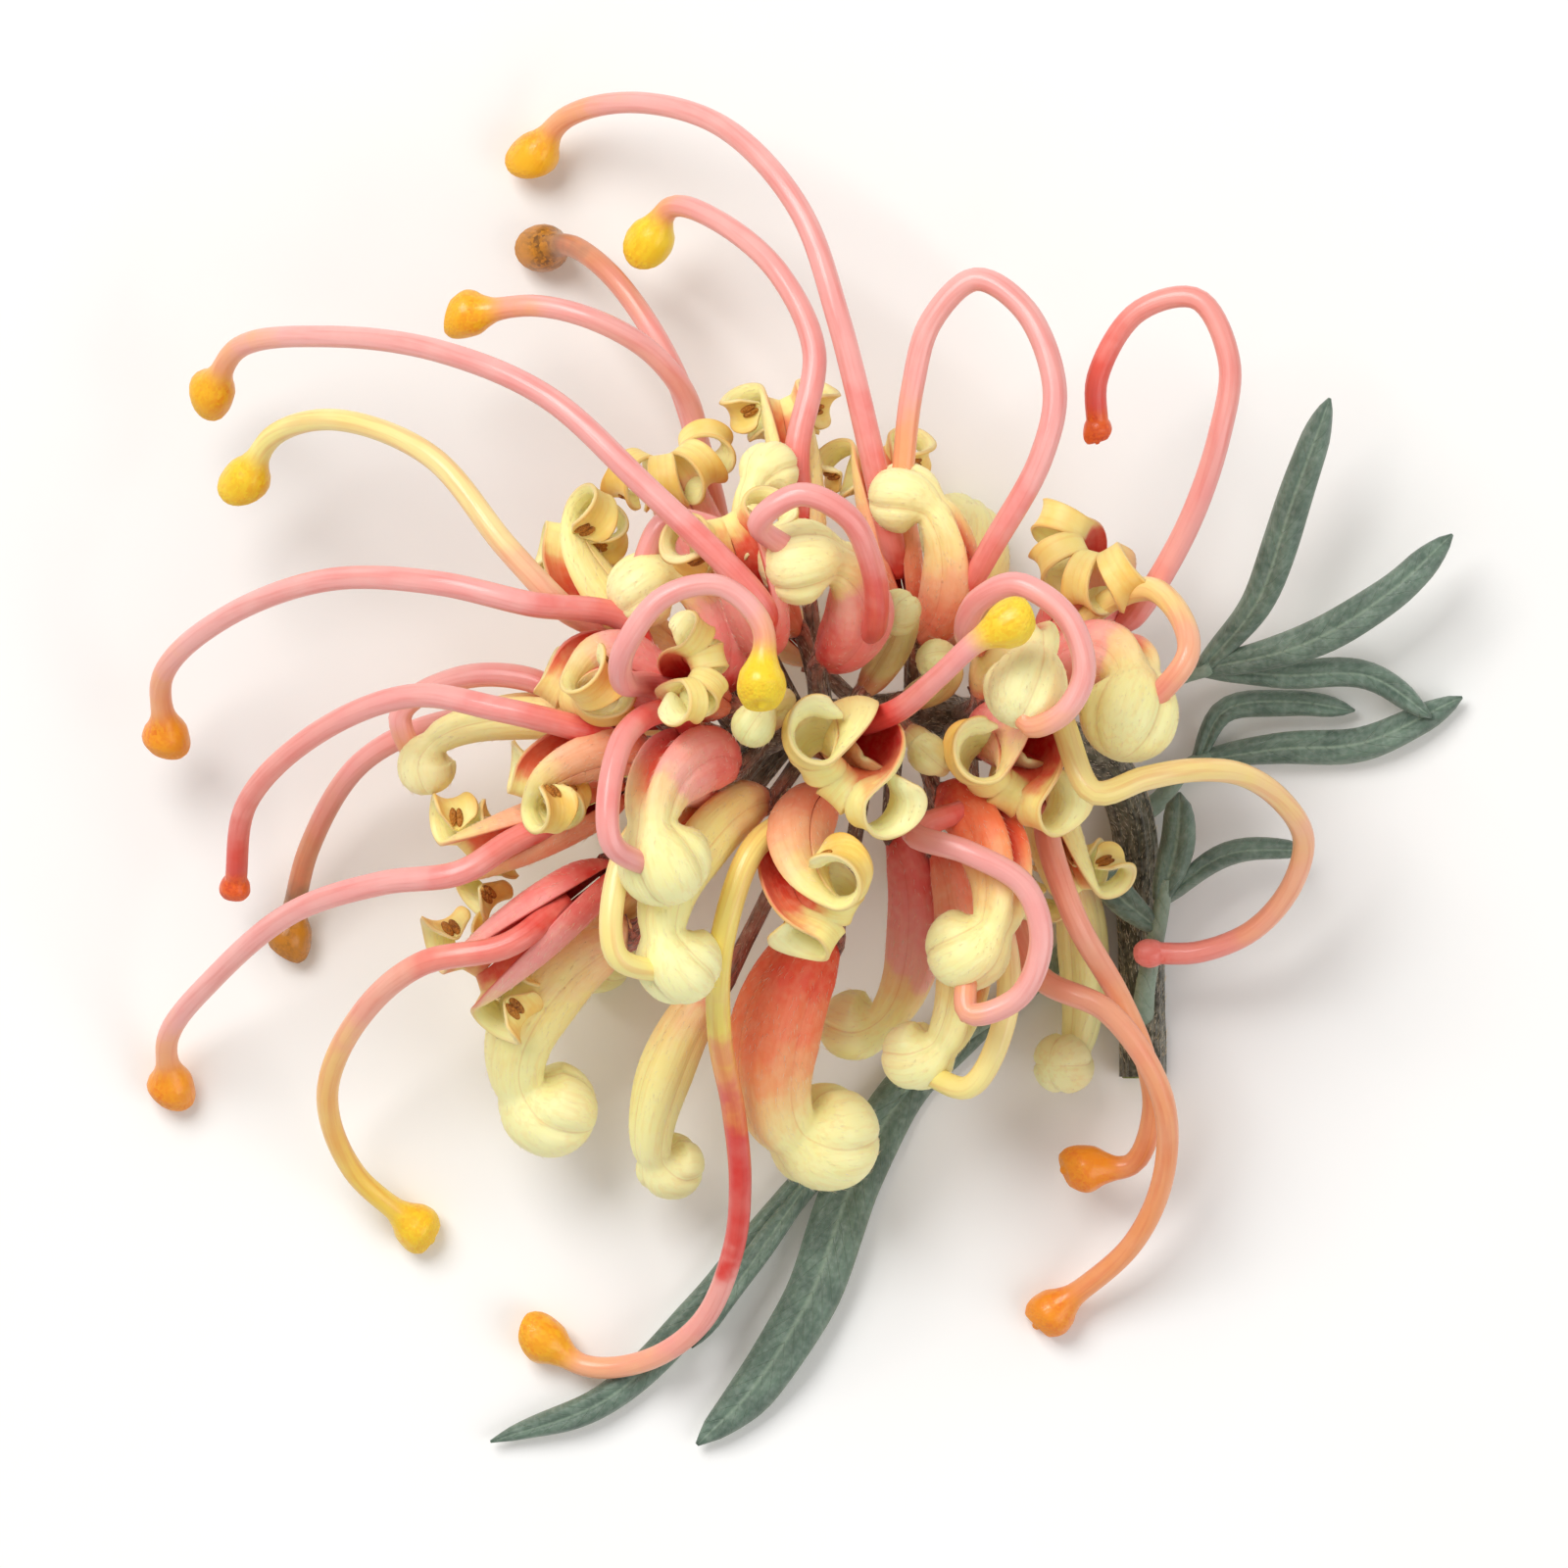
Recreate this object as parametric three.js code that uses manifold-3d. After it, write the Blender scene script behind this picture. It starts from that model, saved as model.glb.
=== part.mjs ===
// A spider grevillea, picked with a short leafy stem and laid on a table.
//
// The stem lies on the table at the right. It turns up into the flower's axis, the rachis, which leans to
// the left and carries the florets all round it. A floret is a short stalk, a curved tube of four joined
// petals, the perianth, and a pistil: a long wiry style that ends in a pollen knob. Tall florets face up,
// and the low ones prop up the head. Millimetres, +Z up, the table at z = 0.

import * as THREE from "three";
import { mergeVertices } from "three/addons/utils/BufferGeometryUtils.js";
import Module from "manifold-3d";

const wasm = await Module();
wasm.setup();

// Driving dimensions
const STEM_RADIUS = 1.7;
const RACHIS_BASE_RADIUS = 1.6;
const RACHIS_TIP_RADIUS = 0.9;
const STALK_RADIUS = 0.65;
const PERIANTH_LENGTH = [9, 15];
const PERIANTH_RISE = 4.6;
const TUBE_RADIUS = 2.6;
const LIMB_RADIUS = 3;
const STYLE_RADIUS = 0.95;
const KNOB_RADIUS = 1.75;
const BLADE_THICKNESS = 0.9;
const SEAT_GAP = 0.3;
const TABLE_SLAB = { width: 400, depth: 20 };

// The middle of the whole flower's box, which the part's origin stands under.
const BOX_MIDDLE = { x: 1.46, y: 0.84 };

const COLOURS = {
  stem: 0x6f6a4c,
  leaf: 0x5c7566,
  perianth: 0xf3dc94,
  pinkPerianth: 0xee9d90,
  style: 0xec8f86,
};

// The axis from the stem's cut end, along the table, to the rachis and its tip.
const STEM_ROUTE = [
  [26.4, -21.5, 1.45],
  [26.3, -15, 1.45],
  [26, -8, 1.55],
  [25.4, -2, 2.8],
];
const RACHIS_ROUTE = [
  [23, 2, 5.8],
  [16.5, 4, 10],
  [9.5, 5, 15],
  [2.5, 4.5, 20.5],
  [-4, 3, 25],
];

// Florets from the picture, then those under the head. at is the place of the stalk along the rachis, from 0
// at its foot to 1 at its tip. limb is the middle of the rolled petal tips, and bow is the way the perianth
// bulges on its way there. A shut floret is a bud, a looped one's style is out but still caught by its tip,
// and an open one's style runs free through the points of style, with a knob that is smaller than usual
// where knob says so.
const FLORETS = [
  { name: "01", at: 0.6, limb: [3.2, -25.8, 10], bow: [-0.8, 0.3, 0.7], stage: "shut",
    size: 1.3, pink: true },
  { name: "02", at: 0.66, limb: [-8.2, -28, 6], bow: [-0.6, 0.2, 0.7], stage: "shut", size: 0.8 },
  { name: "03", at: 0.74, limb: [-7.5, -13, 29], bow: [-0.5, 0.8, 0.4], stage: "looped" },
  { name: "04", at: 0.85, limb: [-23.4, -15, 14], bow: [0.1, 0.15, 1], stage: "open", pink: true,
    style: [[-26.2, -13, 22], [-31, -17.1, 16.5], [-33.4, -22.9, 10], [-31.6, -28.4, 5],
      [-27.1, -32.5, 1.6]] },
  { name: "05", at: 0.92, limb: [-24.2, -5.5, 15], bow: [-0.3, -0.2, 1], stage: "open", size: 0.85,
    style: [[-23.4, -6.4, 24.4], [-29.2, -7.2, 22], [-35.7, -9.3, 17.5], [-41.8, -14.3, 10.5],
      [-45.2, -18.6, 5], [-45.1, -22.1, 1.6]] },
  { name: "06", at: 1, limb: [-26, 1.2, 17], bow: [-0.2, 0.9, 0.1], stage: "looped", size: 0.7 },
  { name: "07", at: 0.8, limb: [-17, -23.8, 9], bow: [-0.8, 0.5, 0.4], stage: "shut", size: 1.15 },
  { name: "08", at: 0.88, limb: [-8.6, -5.6, 34], bow: [-0.5, 0.5, 0.6], stage: "looped",
    size: 1.1, pink: true },
  { name: "09", at: 1, limb: [-17, 5.8, 30], bow: [0.3, 0.9, -0.1], stage: "open", pink: true,
    style: [[-18.4, 13, 30.6], [-25, 14.5, 29.6], [-32.9, 14.8, 25], [-40.7, 12.1, 18], [-45.5, 7.9, 11],
      [-45.4, 3.6, 7]] },
  { name: "10", at: 0.98, limb: [-19, -2.5, 26], bow: [-0.2, 0.8, 0.5], stage: "open", size: 0.85,
    knob: 0.65, style: [[-20.6, 5.4, 29], [-26.6, 6.4, 26], [-33.6, 3.9, 20], [-39.2, -1.4, 13],
      [-40.2, -7.5, 8]] },
  { name: "11", at: 0.97, limb: [-10.2, 14, 27.6], bow: [-0.3, 0.8, 0.2], stage: "looped",
    size: 0.9, pink: true },
  { name: "12", at: 0.9, limb: [-15.4, 20.6, 21], bow: [-0.5, -0.6, 0.6], stage: "open", size: 0.9,
    style: [[-16.6, 13.4, 27.6], [-20.2, 17.3, 28], [-25.4, 23.6, 25.5], [-32.1, 26.4, 21], [-37.2, 25.4, 15],
      [-39.2, 22.4, 12]] },
  { name: "13", at: 0.8, limb: [-8.8, 25.5, 18], bow: [-0.4, 0.4, -0.8], stage: "open", size: 0.9, pink: true,
    style: [[-6.6, 26.6, 13], [-9.2, 31, 16.6], [-13.4, 33.6, 18.6], [-18, 34.8, 17.4], [-22.9, 34.3, 15]] },
  { name: "14", at: 0.85, limb: [-5, 20.6, 31], bow: [0.1, 0.1, 1], stage: "open", size: 0.9, pink: true,
    style: [[-10.4, 21.8, 34], [-17.1, 27.9, 32], [-25, 31.3, 28], [-33.6, 32.5, 21], [-39.8, 31.8, 14],
      [-41.8, 28.8, 10]] },
  { name: "15", at: 0.74, limb: [-0.6, 29, 12], bow: [0.1, 0.3, 1], stage: "open", size: 0.75,
    style: [[2.2, 31.4, 18.6], [-0.4, 37.2, 17], [-5, 41.2, 13], [-8.2, 42.2, 10], [-9.7, 40, 8]] },
  { name: "16", at: 0.74, limb: [-1, 22.8, 22], bow: [-0.5, 0.7, 0.4], stage: "shut", size: 0.7 },
  { name: "17", at: 0.45, limb: [6.3, 25.5, 14], bow: [-0.1, 0.3, 1], stage: "open", size: 0.8,
    style: [[4, 33.6, 21], [1.1, 41.8, 19], [-4.3, 47.9, 15], [-10.7, 50, 10], [-16, 48.9, 5],
      [-18.2, 46.4, 2.6]] },
  { name: "18", at: 0.76, limb: [1, 16, 32], bow: [0.9, 0.3, 0.1], stage: "looped", pink: true,
    loop: [[6.6, 11.6, 30.5], [6.4, 15.4, 34.6], [4.6, 19.2, 37], [1.2, 20.8, 37.4], [-1.8, 18.8, 36.4]] },
  { name: "19", at: 0.5, limb: [8.6, 20.8, 21], bow: [0.8, 0.3, 0.5], stage: "looped", size: 0.85,
    loop: [[15, 17.1, 23], [18.6, 23.6, 25], [19.6, 28.6, 25], [17.5, 34.3, 24], [13.9, 36.6, 23],
      [10.7, 33.6, 22.5], [9.3, 28.6, 22]] },
  { name: "20", at: 0.28, limb: [21.8, 18.4, 18], bow: [0.3, -0.4, -0.8], stage: "open", pink: true,
    knob: 0.6, style: [[25, 12, 12.6], [29, 18, 18], [31.6, 25.3, 21.5], [32.3, 30.7, 22], [30, 35.2, 21.5],
      [25.7, 34.3, 20.5], [22.8, 29.6, 19.5], [22.8, 25.9, 18.5]] },
  { name: "21", at: 0.4, limb: [17.4, 6.8, 31], bow: [0.4, 0.8, 0.3], stage: "looped",
    loop: [[13.2, 10.8, 27], [14, 13.2, 30.5], [16.8, 14.4, 32.5], [20.4, 12, 33.5], [21.6, 8, 34],
      [20, 5, 33.6], [17.6, 4.2, 32.6]] },
  { name: "22", at: 0.3, limb: [25, 4.9, 22.5], bow: [0.5, 0.85, 0.05], stage: "looped",
    size: 1.15, pink: true },
  { name: "23", at: 0.42, limb: [15.6, -2.2, 26], bow: [0.7, 0.6, 0.4], stage: "open", size: 1.1, pink: true,
    knob: 0.6, style: [[22.4, -0.6, 26.6], [26.1, 0.4, 25.6], [29.6, 1, 23.6], [33.2, 0.7, 20.6],
      [36.1, -1.1, 17.4], [37.9, -4, 14], [37, -7.6, 11.4], [34.3, -10.7, 9.5], [30.4, -12.3, 8],
      [27, -12.4, 7.5]] },
  { name: "24", at: 0.5, limb: [13.2, -12, 23], bow: [0.6, 0.6, 0.3], stage: "looped", pink: true,
    loop: [[9.4, -3.6, 25], [13.4, -5, 27], [17.4, -7.4, 27], [18.6, -11.4, 26.5], [17, -15.4, 25.5],
      [13.4, -16.6, 24.5]] },
  { name: "25", at: 0.7, limb: [5.2, -10.4, 30], bow: [-0.9, -0.1, 0.4], stage: "open", size: 1.05,
    style: [[-4.4, -11, 28.6], [-4.7, -18, 22.4], [-3.7, -23.6, 17.6], [-3.2, -29, 13.6], [-3.7, -34, 10.2],
      [-6, -39.4, 6.4], [-10, -42.3, 3.6], [-14.5, -42.8, 2], [-17.5, -41, 1.6]] },
  { name: "26", at: 0.45, limb: [9.6, -19.8, 15], bow: [0.8, 0.3, 0.5], stage: "looped", size: 0.85 },
  { name: "27", at: 0.12, limb: [20.5, -20.5, 4.4], bow: [0.3, 0.1, -0.5], stage: "shut", size: 0.75 },
  { name: "28", at: 0.8, limb: [2.9, -1.2, 35], bow: [0.8, 0.6, 0.3], stage: "open", size: 1.1,
    style: [[11.2, 7.8, 35.2], [13.8, 10.2, 36.8], [16, 11.4, 37]] },
  { name: "29", at: 0.9, limb: [-5.8, 8.8, 37.5], bow: [-0.8, 0.1, 0.1], stage: "open", size: 0.75,
    style: [[-11.6, 7.4, 36.4], [-11.4, 9.8, 39.9], [-8.6, 13.4, 41], [-4.6, 14.2, 41], [-1.6, 11.4, 41],
      [-1.6, 7.4, 41]] },
  { name: "31", at: 0.62, limb: [-3, 14, 2.6], bow: [-0.7, 0.7, 0.3], stage: "open", size: 0.9,
    style: [[-5.4, 21.6, 10.8], [-8, 30, 11], [-12, 36.5, 9.5], [-15.4, 39.4, 6], [-17.5, 39.4, 2.5]] },
  { name: "32", at: 0.8, limb: [-14.5, 2, 2.6], bow: [-0.6, 0.2, 0.7], stage: "open",
    style: [[-20.4, 4.8, 13.6], [-25.6, 4.3, 12.5], [-31, 1.5, 9.5], [-34.8, -4.6, 5], [-36.4, -11, 1.6]] },
  { name: "33", at: 0.54, limb: [5, -17.6, 9.5], bow: [0.9, 0.1, 0.35], stage: "shut",
    size: 0.85, pink: true },
  { name: "34", at: 0.35, limb: [14, -8.5, 2.6], bow: [0.4, -0.5, 0.7], stage: "open", size: 0.8,
    style: [[18.6, -14, 13], [23.6, -16.6, 14.6], [27.4, -22.2, 12.6], [27.9, -28, 9], [25.6, -33.7, 5],
      [19.8, -38.8, 1.6]] },
  { name: "35", at: 0.42, limb: [12.5, 18.5, 2.6], bow: [0.5, 0.5, 0.6], stage: "shut", size: 0.9 },
  { name: "36", at: 0.18, limb: [22.4, -9, 11.5], bow: [-0.2, -0.1, 0.9], stage: "open", size: 0.8,
    style: [[21.2, -9.8, 16.6], [24.4, -15.4, 12.6], [26.4, -20, 9.8], [27, -24, 7.6], [25.6, -27.8, 6],
      [22.3, -28.2, 5.4]] },
  { name: "37", at: 0.82, limb: [-13.5, -12.5, 2.6], bow: [-0.6, -0.4, 0.6], stage: "shut", size: 0.9 },
];

// Small closed buds near the tip, one body with the rachis.
const BUDS = [
  { at: 0.68, limb: [8.2, 12.4, 25.6], bow: [0.6, 0.8, 0.1], size: 0.55 },
  { at: 0.58, limb: [11, 9, 23.6], bow: [0.8, 0.3, 0.3], size: 0.5 },
  { at: 0.9, limb: [-2.2, 4.2, 35], bow: [0.4, 0.6, 0.1], size: 0.55 },
  { at: 0.55, limb: [10.4, 2.2, 25], bow: [0.5, -0.5, 0.4], size: 0.5 },
];

// Leaves: a stalk route with the blade's lobes, each a route and the greatest half width of its ribbon.
const LEAVES = [
  { name: "leaf_upper_right", stalk: [[25.6, 3.4, 3.6], [28.2, 7.4, 4.4], [31.4, 8.6, 5.4]],
    lobes: [
      { route: [[30.6, 8.4, 5.2], [34.6, 13.2, 7.4], [37.2, 20.6, 9.6], [39.9, 28.2, 11]], half: 1.35 },
      { route: [[30.6, 8.4, 5.2], [38.2, 10.3, 6.4], [44.4, 14, 7], [49, 18.3, 6.4]], half: 1.4 },
      { route: [[30.6, 8.4, 5.2], [36.6, 8, 4.4], [43, 7.9, 3.6], [47.6, 4.9, 2.4]], half: 1.1 },
    ] },
  { name: "leaf_right", stalk: [[27.4, -1.4, 1.6], [29.6, 1.2, 1.4], [31.4, 2, 1.3]],
    lobes: [
      { route: [[30.4, 1.7, 1.3], [32.4, 5.4, 2.2], [37.4, 6, 1.9], [42, 5.4, 1.1]], half: 1 },
      { route: [[30.4, 1.7, 1.3], [36.4, 2.6, 1.5], [42.6, 3, 1.6], [49.9, 6.4, 1.2]], half: 1.3 },
    ] },
  { name: "leaf_lower", stalk: [[23.6, -7.4, 1.6], [19.4, -13.8, 1.4], [13.4, -18.6, 1.3], [8.4, -22.6, 1.4]],
    lobes: [
      { route: [[15.4, -17, 1.4], [9.4, -22, 1.5], [5.2, -29, 1.8], [2, -37.6, 2.4], [-2.4, -44.6, 1.8],
        [-6.4, -48.6, 1]], half: 2.1 },
      { route: [[9.4, -21.8, 1.4], [1.4, -29.4, 1.6], [-6, -38.4, 2], [-13, -45.2, 1.6],
          [-21.6, -48.4, 1]], half: 1.3 },
      { route: [[2.6, -28.2, 1.5], [-2.4, -35.2, 3], [-6.8, -41.4, 3.8]], half: 0.9 },
    ] },
  { name: "leaf_by_stem", stalk: [[26.6, -14.4, 5.2], [27.4, -10.6, 6], [28, -7, 6.2]],
    lobes: [
      { route: [[27.6, -8.6, 6.1], [28.8, -4.4, 6.6], [29, -0.6, 6.4]], half: 1.3 },
      { route: [[27.6, -8.6, 6.1], [32.4, -5.2, 5.2], [38.6, -4.8, 3.6]], half: 0.9 },
      { route: [[27.3, -10.6, 6], [24, -7.6, 7.2], [22.4, -4.6, 7.6]], half: 1.2 },
    ] },
];

const vector = (p) => new THREE.Vector3(...p);
const degrees = THREE.MathUtils.degToRad;

/** A smooth curve through the points of a route. */
const routeCurve = (points) => new THREE.CatmullRomCurve3(points, false, "centripetal");

/** A value that runs smoothly through [place, value] pairs. */
function profile(pairs, place) {
  const next = pairs.findIndex(([p]) => p >= place);
  if (next <= 0) return pairs[next === 0 ? 0 : pairs.length - 1][1];
  const [[p0, v0], [p1, v1]] = [pairs[next - 1], pairs[next]];
  return v0 + (v1 - v0) * THREE.MathUtils.smoothstep(place, p0, p1);
}

/** A closed three.js geometry through a row of rings, each a list of the same number of points. */
function loftGeometry(rings) {
  const corners = rings[0].length;
  const points = rings.flat();
  const faces = [];
  for (let r = 0; r + 1 < rings.length; r++) {
    for (let k = 0; k < corners; k++) {
      const a = r * corners + k;
      const b = r * corners + ((k + 1) % corners);
      faces.push(a, b, b + corners, a, b + corners, a + corners);
    }
  }
  const last = (rings.length - 1) * corners;
  const middles = [rings[0], rings.at(-1)].map((ring) =>
    ring.reduce((sum, p) => sum.add(p), new THREE.Vector3()).divideScalar(corners));
  points.push(...middles);
  for (let k = 0; k < corners; k++) {
    const next = (k + 1) % corners;
    faces.push(points.length - 2, next, k, points.length - 1, last + k, last + next);
  }
  return new THREE.BufferGeometry().setFromPoints(points).setIndex(faces);
}

/** The solid that a closed geometry bounds, with its faces turned out. */
function solidOf(geometry) {
  const bare = geometry.clone();
  bare.deleteAttribute("normal");
  bare.deleteAttribute("uv");
  const merged = mergeVertices(bare, 1e-4);
  const faces = Uint32Array.from(merged.index.array);
  const make = () => new wasm.Manifold(
    new wasm.Mesh({ numProp: 3, vertProperties: merged.attributes.position.array, triVerts: faces }));
  const made = make();
  if (made.volume() >= 0) return made;
  for (let i = 0; i < faces.length; i += 3) [faces[i], faces[i + 1]] = [faces[i + 1], faces[i]];
  return make();
}

/** One ring: a section's corners, given across (side) and up, set at a point. */
const ringAt = (point, side, up, corners) =>
  corners.map(([a, b]) => point.clone().addScaledVector(side, a).addScaledVector(up, b));

/** The corners of a regular section. */
const roundSection = (sides, across, deep = across) =>
  Array.from({ length: sides }, (_, k) => {
    const turn = (2 * Math.PI * (k + 0.5)) / sides;
    return [across * Math.cos(turn), deep * Math.sin(turn)];
  });

/** A rod along a route, whose radius follows a profile of [place, radius] pairs. */
function rod(points, steps, sides, radii, grow = 0) {
  const curve = routeCurve(points);
  const frames = curve.computeFrenetFrames(steps, false);
  const rings = frames.tangents.map((_, i) => {
    const place = i / steps;
    return ringAt(curve.getPointAt(place), frames.normals[i], frames.binormals[i],
      roundSection(sides, profile(radii, place) + grow));
  });
  return solidOf(loftGeometry(rings));
}

const rachisCurve = routeCurve(RACHIS_ROUTE.map(vector));

/** The curve, in its own plane, of a floret from the end of its stalk to its limb. */
function perianthCurve(floret) {
  const root = rachisCurve.getPointAt(floret.at);
  const limb = vector(floret.limb);
  const reach = limb.clone().sub(root);
  const away = reach.clone().normalize();
  const bow = vector(floret.bow);
  const lift = bow.clone().addScaledVector(away, -bow.dot(away)).normalize();
  const length = THREE.MathUtils.clamp(reach.length() * 0.62, ...PERIANTH_LENGTH);
  const stalk = Math.max(reach.length() - length, 2.5);
  const foot = root.clone().addScaledVector(away.clone().addScaledVector(lift, 0.12).normalize(), stalk);
  const chord = limb.clone().sub(foot);
  const along = chord.clone().normalize();
  const up = bow.clone().addScaledVector(along, -bow.dot(along)).normalize();
  const span = chord.length();
  const at = (x, y) => foot.clone().addScaledVector(along, x * span).addScaledVector(up, y * span);
  const rise = (PERIANTH_RISE * (floret.size ?? 1)) / span;
  const curve = new THREE.CubicBezierCurve3(foot, at(0.15, rise), at(1, 1.3 * rise), limb);
  return { root, foot, limb, curve, side: along.clone().cross(up).normalize() };
}

/** The point, the way onward and the back (outer) side of a perianth at a place from 0 to 1. */
function perianthFrame(path, place) {
  const point = path.curve.getPoint(place);
  const onward = path.curve.getTangent(place);
  const back = path.side.clone().cross(onward).normalize();
  return { point, onward, back };
}

// The tube's width as shares of its radius: of a shut perianth by shares of its way to the neck at the limb.
const SHUT_TUBE = [[0, 0.42], [0.2, 0.86], [0.5, 1], [0.78, 0.84], [1, 0.66]];
const OPEN_TUBE = [[0, 0.42], [0.16, 0.86], [0.42, 1.02], [0.66, 0.9], [0.86, 0.74]];
const SHUT_PLACES = [0, 0.18, 0.46, 0.75, 1];
const OPEN_PLACES = [0, 0.14, 0.36, 0.6, 0.84];
// The limb's ball: how far on from its middle, and how wide, each ring is, as shares of its radius.
const BALL_RINGS = [[-0.62, 0.78], [0.05, 1], [0.7, 0.7]];
const NECK_ROOM = 1.1;

/** The frame of a perianth at a distance from its limb's middle: back along the curve, or straight on. */
function limbFrame(path, distance) {
  const frame = perianthFrame(path, Math.min(1, 1 + distance / path.curve.getLength()));
  frame.point.addScaledVector(frame.onward, Math.max(distance, 0));
  return frame;
}

/** A perianth that is still shut, with its round limb. */
function shutPerianth(floret, path, grow) {
  const size = floret.size ?? 1;
  const neck = NECK_ROOM - BALL_RINGS[0][0] * LIMB_RADIUS * size;
  const way = 1 - neck / path.curve.getLength();
  const rings = SHUT_PLACES.map((place) => {
    const { point, back } = perianthFrame(path, place * way);
    const radius = profile(SHUT_TUBE, place) * TUBE_RADIUS * size + grow;
    return ringAt(point, path.side, back, roundSection(7, radius * 0.92, radius));
  });
  const limbRadius = LIMB_RADIUS * size + grow;
  for (const [on, wide] of BALL_RINGS) {
    const { point, back } = limbFrame(path, on * limbRadius);
    rings.push(ringAt(point, path.side, back, roundSection(7, wide * limbRadius)));
  }
  return solidOf(loftGeometry(rings));
}

// The arch of a held style: places along the perianth, and how far to its back as shares of the radius.
const ARCH = [[0.36, 1.35], [0.6, 1.85], [0.84, 1.8]];

/** The style of a floret that still holds it: out of the slit in the back of the tube and into the limb. */
function caughtStyle(floret, path, grow) {
  const size = floret.size ?? 1;
  const beside = (place, away) => {
    const { point, back } = perianthFrame(path, place);
    return point.addScaledVector(back, away * size);
  };
  const arch = ARCH.map(([place, away]) => beside(place, away * TUBE_RADIUS));
  const free = floret.loop ? floret.loop.map(vector) : arch;
  const route = [beside(0.22, 0.4 * TUBE_RADIUS), ...free, beside(1, 0.3 * LIMB_RADIUS)];
  return rod(route, floret.loop ? 14 : 9, 4, [[0, STYLE_RADIUS], [1, STYLE_RADIUS * 0.85]], grow);
}

/** The section of an open perianth: a five-sided tube whose back corner is pushed in as a slit. */
function slitSection(radius, slit, grow) {
  const [right, , left, ...rest] = roundSection(5, radius + grow).map(([a, b]) => [a, b]);
  const lip = [0.5 * radius + grow, 0.86 * radius + grow];
  return [right, lip, [0, radius * (1 - slit) + grow], [-lip[0], lip[1]], left, ...rest];
}

const LOBE_TURNS = [-69, -23, 23, 69];
const LOBE_PLACES = [0, 0.28, 0.55, 0.8, 1];
const LOBE_HALF_WIDTH = [[0, 0.2], [0.3, 0.42], [0.75, 0.56], [1, 0.4]];
const LOBE_DEPTH = [[0, 0.3], [0.75, 0.56], [1, 0.4]];
const LOBE_ROLL = 0.7;
const LOBE_SWEEP = 275;

/** One petal tip of an open perianth: a keeled strip, narrow at the mouth, and rolled back under it. */
function rolledLobe(floret, path, turn, grow) {
  const size = (floret.size ?? 1) * LIMB_RADIUS;
  const { point, onward, back } = perianthFrame(path, 0.84);
  const out = back.clone().multiplyScalar(-Math.cos(degrees(turn)))
    .addScaledVector(path.side, Math.sin(degrees(turn)));
  const across = onward.clone().cross(out);
  const heart = point.clone().addScaledVector(onward, -0.2 * size)
    .addScaledVector(out, (0.46 + LOBE_ROLL) * size);
  const rings = LOBE_PLACES.map((place) => {
    const angle = degrees(LOBE_SWEEP) * place;
    const outward = out.clone().multiplyScalar(-Math.cos(angle)).addScaledVector(onward, Math.sin(angle));
    const middle = heart.clone().addScaledVector(outward, LOBE_ROLL * (1 - 0.35 * place) * size);
    const half = profile(LOBE_HALF_WIDTH, place) * size + grow;
    const deep = profile(LOBE_DEPTH, place) * size;
    return ringAt(middle, across, outward, [[-half, -0.4 * deep - grow], [half, -0.4 * deep - grow],
      [0, 0.6 * deep + grow]]);
  });
  return solidOf(loftGeometry(rings));
}

/** An open perianth: the slit tube and its four rolled lobes. */
function openPerianth(floret, path, grow) {
  const rings = OPEN_PLACES.map((place) => {
    const { point, back } = perianthFrame(path, place);
    const radius = profile(OPEN_TUBE, place) * TUBE_RADIUS * (floret.size ?? 1);
    return ringAt(point, path.side, back,
      slitSection(radius, THREE.MathUtils.smoothstep(place, 0.1, 0.45) * 0.7, grow));
  });
  const tube = solidOf(loftGeometry(rings));
  return LOBE_TURNS.reduce((whole, turn) => whole.add(rolledLobe(floret, path, turn, grow)), tube);
}

/** A floret's petals, and in a looped one the style that they still hold. */
function perianth(floret, grow = 0) {
  const path = perianthCurve(floret);
  if (floret.stage === "open") return openPerianth(floret, path, grow);
  const shut = shutPerianth(floret, path, grow);
  return floret.stage === "looped" ? shut.add(caughtStyle(floret, path, grow)) : shut;
}

const PISTIL_RADII = [[0, 1.05], [0.3, 1], [0.86, 0.8]];

/** The curve of a free pistil, from the slit in its perianth's back to its tip. */
function pistilCurve(floret) {
  const { point, back } = perianthFrame(perianthCurve(floret), 0.46);
  const start = point.addScaledVector(back, TUBE_RADIUS * (floret.size ?? 1) + SEAT_GAP);
  return routeCurve([start, ...floret.style.map(vector)]);
}

const PISTIL_STEP = 4;
// The pollen knob: how far on from the style's end, and how wide, each ring is, as shares of its radius.
const KNOB_RINGS = [[-0.55, 0.55], [0.05, 0.98], [0.75, 0.85], [1.15, 0.35]];

/** A free pistil: the style, and the pollen knob on its tip. */
function pistil(floret, grow = 0) {
  const curve = pistilCurve(floret);
  const steps = Math.max(5, Math.round(curve.getLength() / PISTIL_STEP));
  const { tangents, normals, binormals } = curve.computeFrenetFrames(steps, false);
  const rings = tangents.slice(0, -1).map((_, i) =>
    ringAt(curve.getPointAt(i / steps), normals[i], binormals[i],
      roundSection(5, profile(PISTIL_RADII, i / steps) * STYLE_RADIUS + grow)));
  const knob = KNOB_RADIUS * (floret.knob ?? 1);
  for (const [on, wide] of KNOB_RINGS) {
    const middle = curve.getPointAt(1).addScaledVector(tangents[steps], on * knob);
    rings.push(ringAt(middle, normals[steps], binormals[steps], roundSection(5, wide * knob + grow)));
  }
  return solidOf(loftGeometry(rings));
}

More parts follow.
